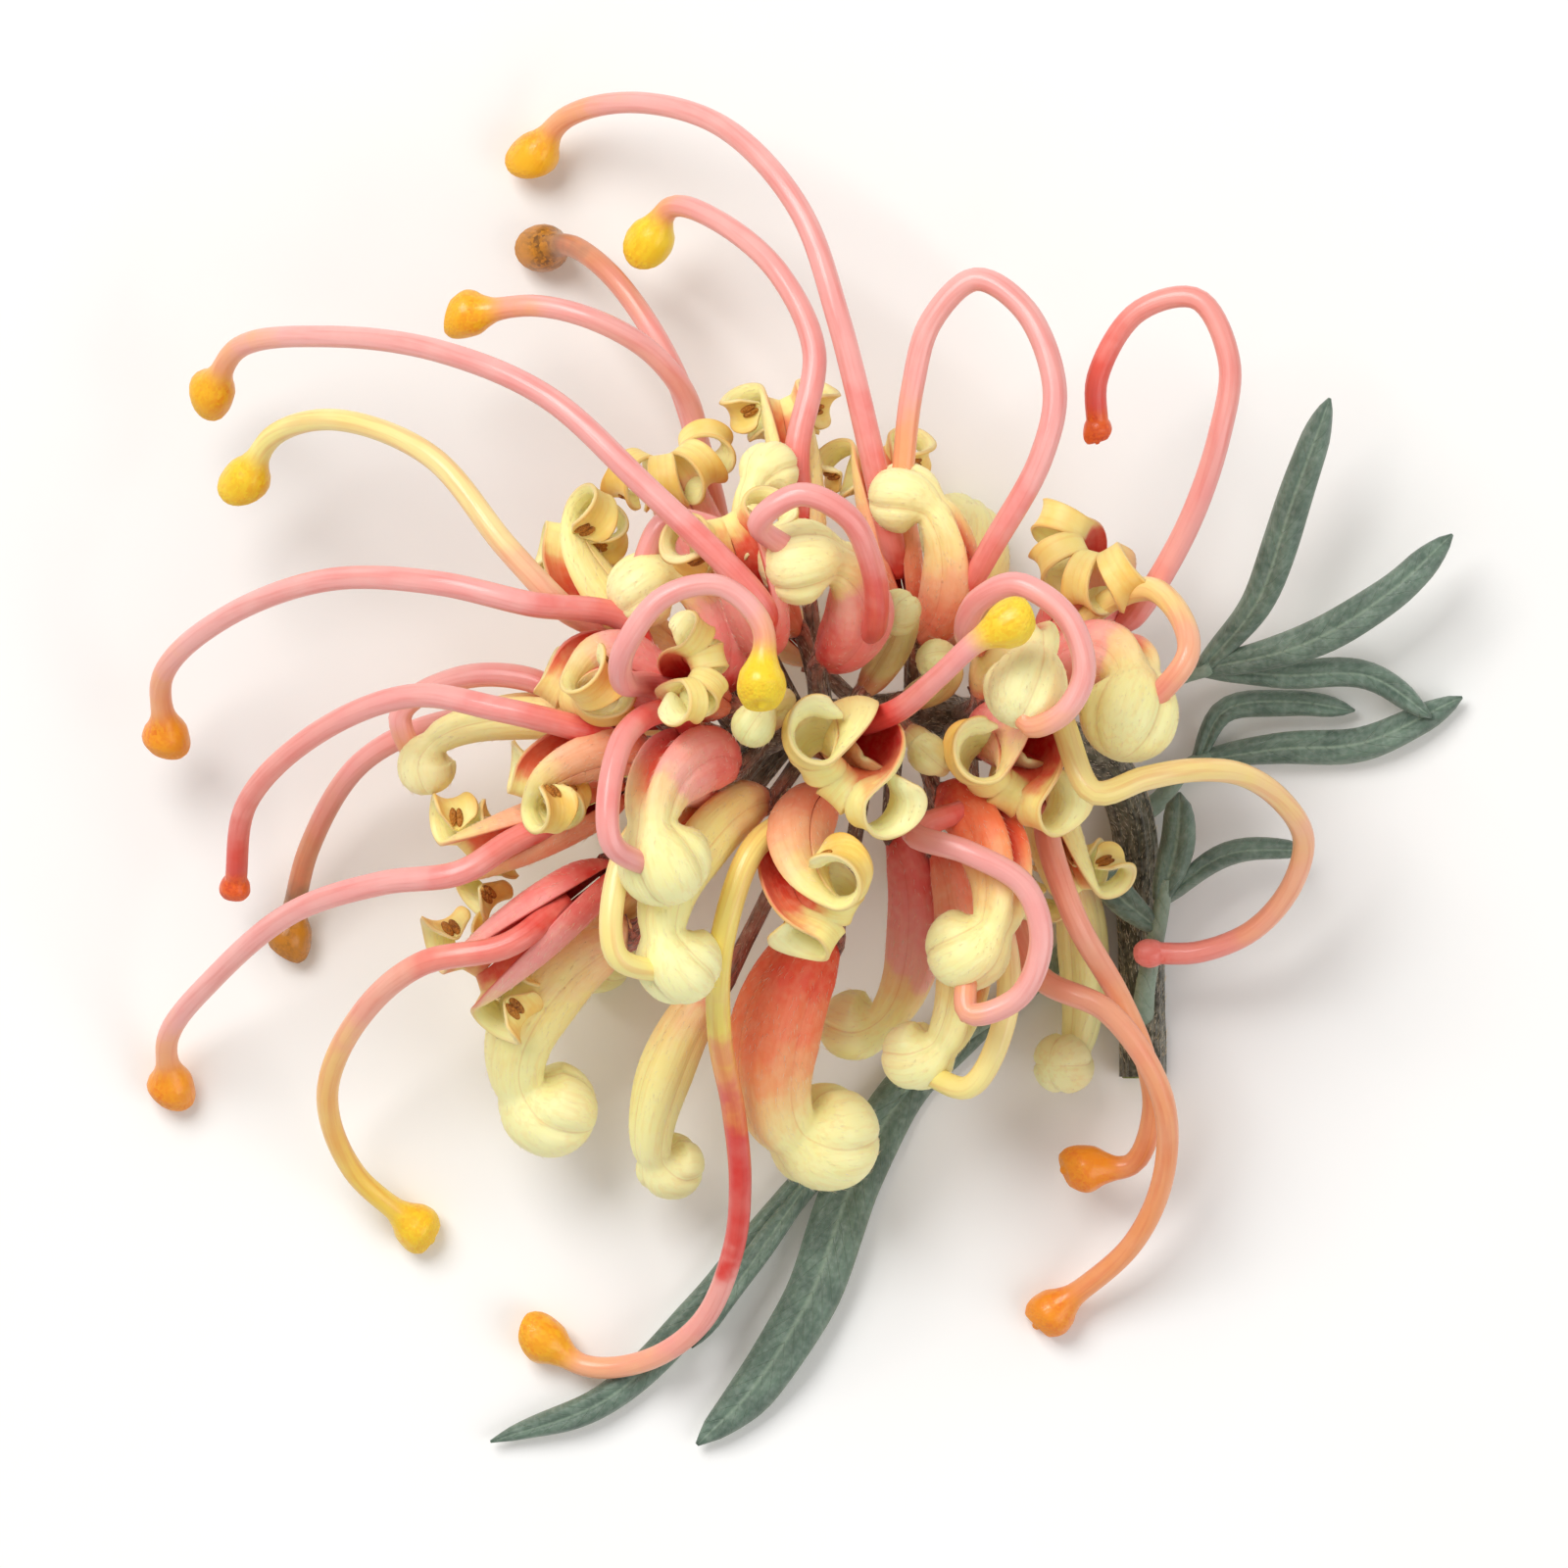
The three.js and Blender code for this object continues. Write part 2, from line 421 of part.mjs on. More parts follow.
/** The woody stem, the rachis, the stalks of the florets and the small buds, grown as one. */
function stemAndRachis(grow = 0) {
  const route = [...STEM_ROUTE, ...RACHIS_ROUTE].map(vector);
  const radii = [[0, STEM_RADIUS], [0.3, STEM_RADIUS * 0.95], [0.45, RACHIS_BASE_RADIUS],
    [1, RACHIS_TIP_RADIUS]];
  let whole = rod(route, 16, 8, radii, grow);
  for (const floret of [...FLORETS, ...BUDS]) {
    const { root, foot, curve } = perianthCurve(floret);
    const end = foot.clone().addScaledVector(curve.getTangent(0), FLORETS.includes(floret) ? -SEAT_GAP : 0.6);
    whole = whole.add(rod([root, end], 1, 4, [[0, STALK_RADIUS * 1.2], [1, STALK_RADIUS]], grow));
  }
  for (const bud of BUDS) whole = whole.add(shutPerianth(bud, perianthCurve(bud), grow));
  return whole;
}

const BLADE_HALF_WIDTH = [[0, 0.45], [0.12, 0.7], [0.5, 1], [0.84, 0.86], [1, 0.3]];

/** A narrow lobe of a leaf: a ribbon with rolled-down edges and a grooved midrib. */
function lobe({ route, half }, grow) {
  const curve = routeCurve(route.map(vector));
  const steps = Math.max(4, Math.round(curve.getLength() / 5));
  const rings = Array.from({ length: steps + 1 }, (_, i) => {
    const place = i / steps;
    const onward = curve.getTangentAt(place);
    const side = onward.clone().cross(new THREE.Vector3(0, 0, 1)).normalize();
    const up = side.clone().cross(onward).normalize();
    const wide = Math.max(profile(BLADE_HALF_WIDTH, place) * half, 0.35) + grow;
    const thick = BLADE_THICKNESS / 2 + grow;
    return ringAt(curve.getPointAt(place), side, up,
      [[-wide, -thick], [-wide * 0.7, thick], [0, thick * 0.6], [wide * 0.7, thick], [wide, -thick]]);
  });
  return solidOf(loftGeometry(rings));
}

/** A leaf cut into narrow lobes. */
function leaf({ stalk, lobes }, grow = 0) {
  const stalkRod = rod(stalk.map(vector), 5, 5, [[0, 0.8], [1, 0.7]], grow);
  return lobes.reduce((whole, one) => whole.add(lobe(one, grow)), stalkRod);
}

const tableSlab = solidOf(new THREE.BoxGeometry(TABLE_SLAB.width, TABLE_SLAB.width, TABLE_SLAB.depth)
  .translate(0, 0, -TABLE_SLAB.depth / 2));

const placed = [];

/** Sets a grown piece beside those already there: it is pressed flat where it meets one or the table. */
function place(name, colour, root, grown) {
  const room = grown(SEAT_GAP);
  const box = room.boundingBox();
  const meets = (other) =>
    [0, 1, 2].every((i) => box.min[i] < other.box.max[i] && box.max[i] > other.box.min[i]);
  const left = placed.filter(meets)
    .reduce((rest, other) => rest.subtract(other.room), grown(0).subtract(tableSlab));
  const [solid] = left.decompose().sort((a, b) => b.volume() - a.volume());
  placed.push({ name, colour, root, solid, room, box });
}

const openFlorets = FLORETS.filter((floret) => floret.stage === "open");
place("stem_and_rachis", COLOURS.stem, vector(STEM_ROUTE[0]), stemAndRachis);
for (const floret of FLORETS) {
  place(`perianth_${floret.name}`, floret.pink ? COLOURS.pinkPerianth : COLOURS.perianth,
    perianthCurve(floret).foot, (grow) => perianth(floret, grow));
}
for (const floret of openFlorets) {
  const start = pistilCurve(floret).getPoint(0);
  place(`pistil_${floret.name}`, COLOURS.style, start, (grow) => pistil(floret, grow));
}
for (const one of LEAVES) place(one.name, COLOURS.leaf, vector(one.stalk[0]), (grow) => leaf(one, grow));

/** A mesh of a placed piece, standing at its own root. */
function meshOf({ name, colour, root, solid }) {
  const { vertProperties, triVerts, numProp, numVert } = solid.getMesh();
  const points = Array.from({ length: numVert }, (_, i) =>
    new THREE.Vector3(...vertProperties.subarray(i * numProp, i * numProp + 3)).sub(root));
  const geometry = new THREE.BufferGeometry().setFromPoints(points).setIndex(Array.from(triVerts));
  geometry.computeVertexNormals();
  const material = new THREE.MeshStandardMaterial({ color: colour, roughness: 0.6, metalness: 0 });
  const mesh = new THREE.Mesh(geometry, material);
  mesh.name = name;
  mesh.position.copy(root);
  return mesh;
}

const head = new THREE.Group();
const shoot = new THREE.Group();
for (const piece of placed) (/^(perianth|pistil)/.test(piece.name) ? head : shoot).add(meshOf(piece));

const flower = new THREE.Group();
flower.position.set(-BOX_MIDDLE.x, -BOX_MIDDLE.y, 0);
flower.add(shoot, head);

export default flower;
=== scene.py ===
"""Dresses a picked spider grevillea: finer petals, styles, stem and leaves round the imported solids, and their finishes.

Lengths are the part's own millimetres, with +Z up and the table at z = 0, until a mesh is made in metres.
"""
import logging
import math
import random
from collections.abc import Sequence
from dataclasses import dataclass, field
from enum import Enum

import bpy
import numpy as np
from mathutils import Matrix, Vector


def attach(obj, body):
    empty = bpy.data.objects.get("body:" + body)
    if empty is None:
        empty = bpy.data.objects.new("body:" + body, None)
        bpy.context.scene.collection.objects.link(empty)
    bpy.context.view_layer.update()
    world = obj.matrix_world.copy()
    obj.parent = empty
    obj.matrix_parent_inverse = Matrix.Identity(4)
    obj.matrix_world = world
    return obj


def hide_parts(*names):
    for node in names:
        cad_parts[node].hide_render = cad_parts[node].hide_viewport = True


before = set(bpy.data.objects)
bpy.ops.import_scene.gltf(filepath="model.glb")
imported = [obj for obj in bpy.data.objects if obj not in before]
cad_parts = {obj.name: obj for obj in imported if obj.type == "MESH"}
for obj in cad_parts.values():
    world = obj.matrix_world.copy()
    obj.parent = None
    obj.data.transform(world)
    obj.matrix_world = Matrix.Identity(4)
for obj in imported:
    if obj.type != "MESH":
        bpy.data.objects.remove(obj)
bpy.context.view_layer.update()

Point = tuple[float, float, float]
Pairs = tuple[tuple[float, float], ...]
Stops = tuple[tuple[float, str], ...]
Array = np.ndarray

LOG = logging.getLogger("grevillea")
MM = 0.001
TINY = 1e-9
BODY = "root"

# Sizes that the part's source gives too
STEM_RADIUS = 1.7
RACHIS_BASE_RADIUS = 1.6
RACHIS_TIP_RADIUS = 0.9
STALK_RADIUS = 0.65
PERIANTH_LENGTH = (9.0, 15.0)
PERIANTH_SHARE = 0.62
STALK_LEAST = 2.5
PERIANTH_RISE = 4.6
TUBE_RADIUS = 2.6
LIMB_RADIUS = 3.0
STYLE_RADIUS = 0.95
KNOB_RADIUS = 1.75
BLADE_THICKNESS = 0.9
SEAT_GAP = 0.3
BOX_MIDDLE = np.array([1.46, 0.84, 0.0])

# How thin the skin of a piece gets that the table presses flat
PRESSED = 0.35


class Stage(Enum):
    """How far a floret has opened."""

    SHUT = "a bud"
    LOOPED = "its style out, the tip still caught"
    OPEN = "its petals rolled back and its style free"


class Blush(Enum):
    """The colouring of a floret's petals."""

    CREAM = "cream"
    PEACH = "peach"
    PINK = "pink"
    CORAL = "coral"


class Tone(Enum):
    """The colouring of a style."""

    PINK = "pink"
    CREAM = "cream"
    SUNRISE = "sunrise"
    GOLD = "gold"
    FLAME = "flame"
    APRICOT = "apricot"
    RUBY = "ruby"
    EMBER = "ember"
    ROSE = "rose"
    AMBER = "amber"
    WITHERED = "withered"


@dataclass(frozen=True)
class Floret:
    """One floret, in the words of the part's source, with its colouring."""

    name: str
    at: float
    limb: Point
    bow: Point
    stage: Stage = Stage.SHUT
    size: float = 1.0
    blush: Blush = Blush.CREAM
    style: tuple[Point, ...] = ()
    loop: tuple[Point, ...] = ()
    tone: Tone = Tone.PINK
    knob: float = 1.0

    @property
    def slot(self) -> str:
        """The record's slot of the petals."""
        return "pink_perianth" if self.blush in (Blush.PINK, Blush.CORAL) else "cream_perianth"


@dataclass(frozen=True)
class LeafLobe:
    """One narrow lobe of a leaf: its route and its greatest half width."""

    route: tuple[Point, ...]
    half: float


@dataclass(frozen=True)
class LeafPlan:
    """One leaf: its node, where it leaves the stem's middle, the route of its stalk and its lobes."""

    name: str
    seat: tuple[Point, ...]
    stalk: tuple[Point, ...]
    lobes: tuple[LeafLobe, ...]


STEM_ROUTE = (
    (26.4, -21.5, 1.45),
    (26.3, -15, 1.45),
    (26, -8, 1.55),
    (25.4, -2, 2.8),
)
RACHIS_ROUTE = (
    (23, 2, 5.8),
    (16.5, 4, 10),
    (9.5, 5, 15),
    (2.5, 4.5, 20.5),
    (-4, 3, 25),
)

FLORETS = (
    Floret("01", 0.6, (3.2, -25.8, 10), (-0.8, 0.3, 0.7), Stage.SHUT, 1.3, Blush.CORAL),
    Floret("02", 0.66, (-8.2, -28, 6), (-0.6, 0.2, 0.7), Stage.SHUT, 0.8),
    Floret("03", 0.74, (-7.5, -13, 29), (-0.5, 0.8, 0.4), Stage.LOOPED, tone=Tone.CREAM),
    Floret("04", 0.85, (-23.4, -15, 14), (0.1, 0.15, 1), Stage.OPEN, blush=Blush.PINK, tone=Tone.GOLD,
           style=((-26.2, -13, 22), (-31, -17.1, 16.5), (-33.4, -22.9, 10), (-31.6, -28.4, 5),
                  (-27.1, -32.5, 1.6))),
    Floret("05", 0.92, (-24.2, -5.5, 15), (-0.3, -0.2, 1), Stage.OPEN, 0.85, Blush.PEACH,
           style=((-23.4, -6.4, 24.4), (-29.2, -7.2, 22), (-35.7, -9.3, 17.5), (-41.8, -14.3, 10.5),
                  (-45.2, -18.6, 5), (-45.1, -22.1, 1.6))),
    Floret("06", 1, (-26, 1.2, 17), (-0.2, 0.9, 0.1), Stage.LOOPED, 0.7),
    Floret("07", 0.8, (-17, -23.8, 9), (-0.8, 0.5, 0.4), Stage.SHUT, 1.15),
    Floret("08", 0.88, (-8.6, -5.6, 34), (-0.5, 0.5, 0.6), Stage.LOOPED, 1.1, Blush.PINK, tone=Tone.RUBY),
    Floret("09", 1, (-17, 5.8, 30), (0.3, 0.9, -0.1), Stage.OPEN, blush=Blush.PINK,
           style=((-18.4, 13, 30.6), (-25, 14.5, 29.6), (-32.9, 14.8, 25), (-40.7, 12.1, 18),
                  (-45.4, 7.9, 11), (-45.3, 3.6, 7))),
    Floret("10", 0.98, (-19, -2.5, 26), (-0.2, 0.8, 0.5), Stage.OPEN, 0.85, Blush.PEACH, tone=Tone.EMBER,
           knob=0.65, style=((-20.6, 5.4, 29), (-26.6, 6.4, 26), (-33.6, 3.9, 20), (-39.2, -1.4, 13),
                  (-40.2, -7.5, 8))),
    Floret("11", 0.97, (-10.2, 14, 27.6), (-0.3, 0.8, 0.2), Stage.LOOPED, 0.9, Blush.PINK, tone=Tone.RUBY),
    Floret("12", 0.9, (-15.4, 20.6, 21), (-0.5, -0.6, 0.6), Stage.OPEN, 0.9, tone=Tone.CREAM,
           style=((-16.6, 13.4, 27.6), (-20.2, 17.3, 28), (-25.4, 23.6, 25.5), (-32.1, 26.4, 21),
                  (-37.2, 25.4, 15), (-39.2, 22.4, 12))),
    Floret("13", 0.8, (-8.8, 25.5, 18), (-0.4, 0.4, -0.8), Stage.OPEN, 0.9, Blush.PINK, tone=Tone.AMBER,
           style=((-6.6, 26.6, 13), (-9.2, 31, 16.6), (-13.4, 33.6, 18.6), (-18, 34.8, 17.4), (-22.9, 34.3, 15))),
    Floret("14", 0.85, (-5, 20.6, 31), (0.1, 0.1, 1), Stage.OPEN, 0.9, Blush.PINK, tone=Tone.AMBER,
           style=((-10.4, 21.8, 34), (-17.1, 27.9, 32), (-25, 31.3, 28), (-33.6, 32.5, 21),
                  (-39.8, 31.8, 14), (-41.8, 28.8, 10))),
    Floret("15", 0.74, (-0.6, 29, 12), (0.1, 0.3, 1), Stage.OPEN, 0.75, tone=Tone.ROSE,
           style=((2.2, 31.4, 18.6), (-0.4, 37.2, 17), (-5, 41.2, 13), (-8.2, 42.2, 10), (-9.7, 40, 8))),
    Floret("16", 0.74, (-1, 22.8, 22), (-0.5, 0.7, 0.4), Stage.SHUT, 0.7, Blush.PEACH),
    Floret("17", 0.45, (6.3, 25.5, 14), (-0.1, 0.3, 1), Stage.OPEN, 0.8, Blush.PEACH, tone=Tone.AMBER,
           style=((4, 33.6, 21), (1.1, 41.8, 19), (-4.3, 47.8, 15), (-10.7, 49.84, 10), (-16, 48.9, 5),
                  (-18.2, 46.4, 2.6))),
    Floret("18", 0.76, (1, 16, 32), (0.9, 0.3, 0.1), Stage.LOOPED, blush=Blush.PINK, tone=Tone.RUBY,
           loop=((6.6, 11.6, 30.5), (6.4, 15.4, 34.6), (4.6, 19.2, 37), (1.2, 20.8, 37.4), (-1.8, 18.8, 36.4))),
    Floret("19", 0.5, (8.6, 20.8, 21), (0.8, 0.3, 0.5), Stage.LOOPED, 0.85, Blush.PEACH,
           loop=((15, 17.1, 23), (18.6, 23.6, 25), (19.6, 28.6, 25), (17.5, 34.3, 24), (13.9, 36.6, 23),
                 (10.7, 33.6, 22.5), (9.3, 28.6, 22))),
    Floret("20", 0.28, (21.8, 18.4, 18), (0.3, -0.4, -0.8), Stage.OPEN, blush=Blush.PINK, tone=Tone.EMBER,
           knob=0.6, style=((25, 12, 12.6), (29, 18, 18), (31.6, 25.3, 21.5), (32.3, 30.7, 22),
                            (30, 35.2, 21.5), (25.7, 34.3, 20.5), (22.8, 29.6, 19.5), (22.8, 25.9, 18.5))),
    Floret("21", 0.4, (17.4, 6.8, 31), (0.4, 0.8, 0.3), Stage.LOOPED,
           loop=((13.2, 10.8, 27), (14, 13.2, 30.5), (16.8, 14.4, 32.5), (20.4, 12, 33.5), (21.6, 8, 34),
                 (20, 5, 33.6), (17.6, 4.2, 32.6))),
    Floret("22", 0.3, (25, 4.9, 22.5), (0.5, 0.85, 0.05), Stage.LOOPED, 1.15, Blush.PINK, tone=Tone.SUNRISE),
    Floret("23", 0.42, (15.6, -2.2, 26), (0.7, 0.6, 0.4), Stage.OPEN, 1.1, Blush.PINK, tone=Tone.SUNRISE,
           knob=0.6, style=((22.4, -0.6, 26.6), (26.1, 0.4, 25.6), (29.6, 1, 23.6), (33.2, 0.7, 20.6),
                            (36.1, -1.1, 17.4), (37.9, -4, 14), (37, -7.6, 11.4), (34.3, -10.7, 9.5),
                            (30.4, -12.3, 8), (27, -12.4, 7.5))),
    Floret("24", 0.5, (13.2, -12, 23), (0.6, 0.6, 0.3), Stage.LOOPED, blush=Blush.CORAL,
           loop=((9.4, -3.6, 25), (13.4, -5, 27), (17.4, -7.4, 27), (18.6, -11.4, 26.5), (17, -15.4, 25.5),
                 (13.4, -16.6, 24.5))),
    Floret("25", 0.7, (5.2, -10.4, 30), (-0.9, -0.1, 0.4), Stage.OPEN, 1.05, Blush.PEACH, tone=Tone.FLAME,
           style=((-4.4, -11, 28.6), (-4.7, -18, 22.4), (-3.7, -23.6, 17.6), (-3.2, -29, 13.6),
                  (-3.7, -34, 10.2), (-6, -39.4, 6.4), (-10, -42.3, 3.6), (-14.5, -42.8, 2),
                  (-17.5, -41, 1.6))),
    Floret("26", 0.45, (9.6, -19.8, 15), (0.8, 0.3, 0.5), Stage.LOOPED, 0.85, Blush.PEACH, tone=Tone.CREAM),
    Floret("27", 0.12, (20.5, -20.5, 4.4), (0.3, 0.1, -0.5), Stage.SHUT, 0.75),
    Floret("28", 0.8, (2.9, -1.2, 35), (0.8, 0.6, 0.3), Stage.OPEN, 1.1, tone=Tone.RUBY,
           style=((11.2, 7.8, 35.2), (13.8, 10.2, 36.8), (16, 11.4, 37))),
    Floret("29", 0.9, (-5.8, 8.8, 37.5), (-0.8, 0.1, 0.1), Stage.OPEN, 0.75, Blush.PEACH, tone=Tone.ROSE,
           style=((-11.6, 7.4, 36.4), (-11.4, 9.8, 39.8), (-8.6, 13.4, 40.84), (-4.6, 14.2, 40.84),
                  (-1.6, 11.4, 40.84), (-1.6, 7.4, 40.84))),
    Floret("31", 0.62, (-3, 14, 2.6), (-0.7, 0.7, 0.3), Stage.OPEN, 0.9, tone=Tone.WITHERED,
           style=((-5.4, 21.6, 10.8), (-8, 30, 11), (-12, 36.5, 9.5), (-15.4, 39.4, 6), (-17.5, 39.4, 2.5))),
    Floret("32", 0.8, (-14.5, 2, 2.6), (-0.6, 0.2, 0.7), Stage.OPEN, tone=Tone.WITHERED,
           style=((-20.4, 4.8, 13.6), (-25.6, 4.3, 12.5), (-31, 1.5, 9.5), (-34.8, -4.6, 5),
                  (-36.4, -11, 1.6))),
    Floret("33", 0.54, (5, -17.6, 9.5), (0.9, 0.1, 0.35), Stage.SHUT, 0.85, Blush.PINK),
    Floret("34", 0.35, (14, -8.5, 2.6), (0.4, -0.5, 0.7), Stage.OPEN, 0.8, tone=Tone.APRICOT,
           style=((18.6, -14, 13), (23.6, -16.6, 14.6), (27.4, -22.2, 12.6), (27.9, -28, 9),
                  (25.6, -33.7, 5), (19.8, -38.8, 1.6))),
    Floret("35", 0.42, (12.5, 18.5, 2.6), (0.5, 0.5, 0.6), Stage.SHUT, 0.9),
    Floret("36", 0.18, (22.4, -9, 11.5), (-0.2, -0.1, 0.9), Stage.OPEN, 0.8, tone=Tone.APRICOT,
           style=((21.2, -9.8, 16.6), (24.4, -15.4, 12.6), (26.4, -20, 9.8), (27, -24, 7.6),
                  (25.6, -27.8, 6), (22.3, -28.2, 5.4))),
    Floret("37", 0.82, (-13.5, -12.5, 2.6), (-0.6, -0.4, 0.6), Stage.SHUT, 0.9),
)

# Small closed buds near the tip, part of the stem's piece
BUDS = (
    Floret("bud_1", 0.68, (8.2, 12.4, 25.6), (0.6, 0.8, 0.1), size=0.55),
    Floret("bud_2", 0.58, (11, 9, 23.6), (0.8, 0.3, 0.3), size=0.5),
    Floret("bud_3", 0.9, (-2.2, 4.2, 35), (0.4, 0.6, 0.1), size=0.55),
    Floret("bud_4", 0.55, (10.4, 2.2, 25), (0.5, -0.5, 0.4), size=0.5),
)

LEAVES = (
    LeafPlan("leaf_upper_right", ((23.6, 1.2, 5.2),), ((25.6, 3.4, 3.6), (28.2, 7.4, 4.4), (31.4, 8.6, 5.4)), (
        LeafLobe(((30.6, 8.4, 5.2), (34.6, 13.2, 7.4), (37.2, 20.6, 9.6), (39.9, 28.2, 11)), 1.35),
        LeafLobe(((30.6, 8.4, 5.2), (38.2, 10.3, 6.4), (44.4, 14, 7), (49, 18.3, 6.4)), 1.4),
        LeafLobe(((30.6, 8.4, 5.2), (36.6, 8, 4.4), (43, 7.9, 3.6), (47.6, 4.9, 2.4)), 1.1),
    )),
    LeafPlan("leaf_right", ((25.3, -2.6, 2.6),), ((27.4, -1.4, 1.6), (29.6, 1.2, 1.4), (31.4, 2, 1.3)), (
        LeafLobe(((30.4, 1.7, 1.3), (32.4, 5.4, 2.2), (37.4, 6, 1.9), (42, 5.4, 1.1)), 1.0),
        LeafLobe(((30.4, 1.7, 1.3), (36.4, 2.6, 1.5), (42.6, 3, 1.6), (49.9, 6.4, 1.2)), 1.3),
    )),
    LeafPlan("leaf_lower", ((26, -5.4, 2),),
             ((23.6, -7.4, 1.6), (19.4, -13.8, 1.4), (13.4, -18.6, 1.3), (8.4, -22.6, 1.4)), (
        LeafLobe(((15.4, -17, 1.4), (9.4, -22, 1.5), (5.2, -29, 1.8), (2, -37.6, 2.4), (-2.4, -44.6, 1.8),
                  (-6.4, -48.6, 1)), 2.1),
        LeafLobe(((9.4, -21.8, 1.4), (1.4, -29.4, 1.6), (-6, -38.4, 2), (-13, -45.2, 1.6),
                  (-21.6, -48.4, 1)), 1.3),
        LeafLobe(((2.6, -28.2, 1.5), (-2.4, -35.2, 3), (-6.8, -41.4, 3.8)), 0.9),
    )),
    LeafPlan("leaf_by_stem", ((26.3, -17.6, 1.6), (26.4, -16.2, 3.8)), ((26.6, -14.4, 5.2), (27.4, -10.6, 6), (28, -7, 6.2)), (
        LeafLobe(((27.6, -8.6, 6.1), (28.8, -4.4, 6.6), (29, -0.6, 6.4)), 1.3),
        LeafLobe(((27.6, -8.6, 6.1), (32.4, -5.2, 5.2), (38.6, -4.8, 3.6)), 0.9),
        LeafLobe(((27.3, -10.6, 6), (24, -7.6, 7.2), (22.4, -4.6, 7.6)), 1.2),
    )),
)


def unit(vectors: Array) -> Array:
    """Brings vectors to length 1."""
    return vectors / np.maximum(np.linalg.norm(vectors, axis=-1, keepdims=True), TINY)


def ease(places: Array, start: float, end: float) -> Array:
    """Goes smoothly from 0 at start to 1 at end."""
    share = np.clip((places - start) / (end - start), 0, 1)
    return share * share * (3 - 2 * share)


def profile(pairs: Pairs, places: Array) -> Array:
    """Runs a smooth line without overshoot through pairs.

    Args:
        pairs: Places and the values there, in rising order of place.
        places: Where the line is read.

    Returns:
        The value at each place, held level past both ends.
    """
    x, y = np.array(pairs, float).T
    rise = np.diff(y) / np.diff(x)
    product = rise[:-1] * rise[1:]
    inner = np.where(product > 0, 2 * product / np.where(product > 0, rise[:-1] + rise[1:], 1), 0)
    slope = np.concatenate([rise[:1], inner, rise[-1:]])
    at = np.clip(places, x[0], x[-1])
    i = np.clip(np.searchsorted(x, at) - 1, 0, len(x) - 2)
    wide = np.diff(x)[i]
    t = (at - x[i]) / wide
    return (y[i] * (1 + 2 * t) * (1 - t) ** 2 + slope[i] * wide * t * (1 - t) ** 2
            + y[i + 1] * t * t * (3 - 2 * t) + slope[i + 1] * wide * t * t * (t - 1))


def softened(rows: Array, passes: int) -> Array:
    """Evens out a row of values or points.

    Args:
        rows: The values, in order along the first axis.
        passes: How often each is drawn towards its neighbours.

    Returns:
        The evened row, with both ends as they were.
    """
    rows = rows.copy()
    for _ in range(passes):
        rows[1:-1] = (rows[:-2] + 2 * rows[1:-1] + rows[2:]) / 4
    return rows


class Route:
    """A smooth curve through points, measured along its length."""

    SAMPLES = 40

    def __init__(self, points: Sequence[Sequence[float]]) -> None:
        """Runs the curve through points."""
        p = np.array(points, float)
        p = np.vstack([2 * p[0] - p[1], p, 2 * p[-1] - p[-2]])
        t = np.linspace(0, 1, self.SAMPLES, endpoint=False)[:, None]
        rows = []
        for p0, p1, p2, p3 in zip(p, p[1:], p[2:], p[3:]):
            d0, d1, d2 = (math.sqrt(np.linalg.norm(b - a)) for a, b in ((p0, p1), (p1, p2), (p2, p3)))
            leave = ((p1 - p0) / d0 - (p2 - p0) / (d0 + d1) + (p2 - p1) / d1) * d1
            arrive = ((p2 - p1) / d1 - (p3 - p1) / (d1 + d2) + (p3 - p2) / d2) * d1
            rows.append(p1 + leave * t + (3 * (p2 - p1) - 2 * leave - arrive) * t ** 2
                        + (2 * (p1 - p2) + leave + arrive) * t ** 3)
        self.points = np.vstack([*rows, p[-2]])
        steps = np.linalg.norm(np.diff(self.points, axis=0), axis=1)
        self.arc = np.concatenate([[0], np.cumsum(steps)])
        self.length = float(self.arc[-1])

    def at(self, distances: Array) -> Array:
        """Gives the points at distances from the start, straight on past either end."""
        distances = np.atleast_1d(np.asarray(distances, float))
        held = np.clip(distances, 0, self.length)
        points = np.stack([np.interp(held, self.arc, self.points[:, i]) for i in range(3)], axis=-1)
        ends = unit(np.array([self.points[1] - self.points[0], self.points[-1] - self.points[-2]]))
        onward = np.where((distances < 0)[:, None], ends[0], ends[1])
        return points + onward * (distances - held)[:, None]

    def tangents(self, distances: Array) -> Array:
        """Gives the ways onward at distances from the start."""
        reach = 0.2
        distances = np.atleast_1d(np.asarray(distances, float))
        return unit(self.at(distances + reach) - self.at(distances - reach))


def carried(tangents: Array, start: Array) -> tuple[Array, Array]:
    """Carries a side along a curve so that it turns as little as it can.

    Args:
        tangents: The way onward at each station.
        start: Which way the first side points, roughly.

    Returns:
        The sides and the ups at the stations.
    """
    sides = np.empty_like(tangents)
    side = np.asarray(start, float)
    for row, tangent in enumerate(tangents):
        side = unit(side - tangent * (side @ tangent))
        sides[row] = side
    return sides, np.cross(tangents, sides)


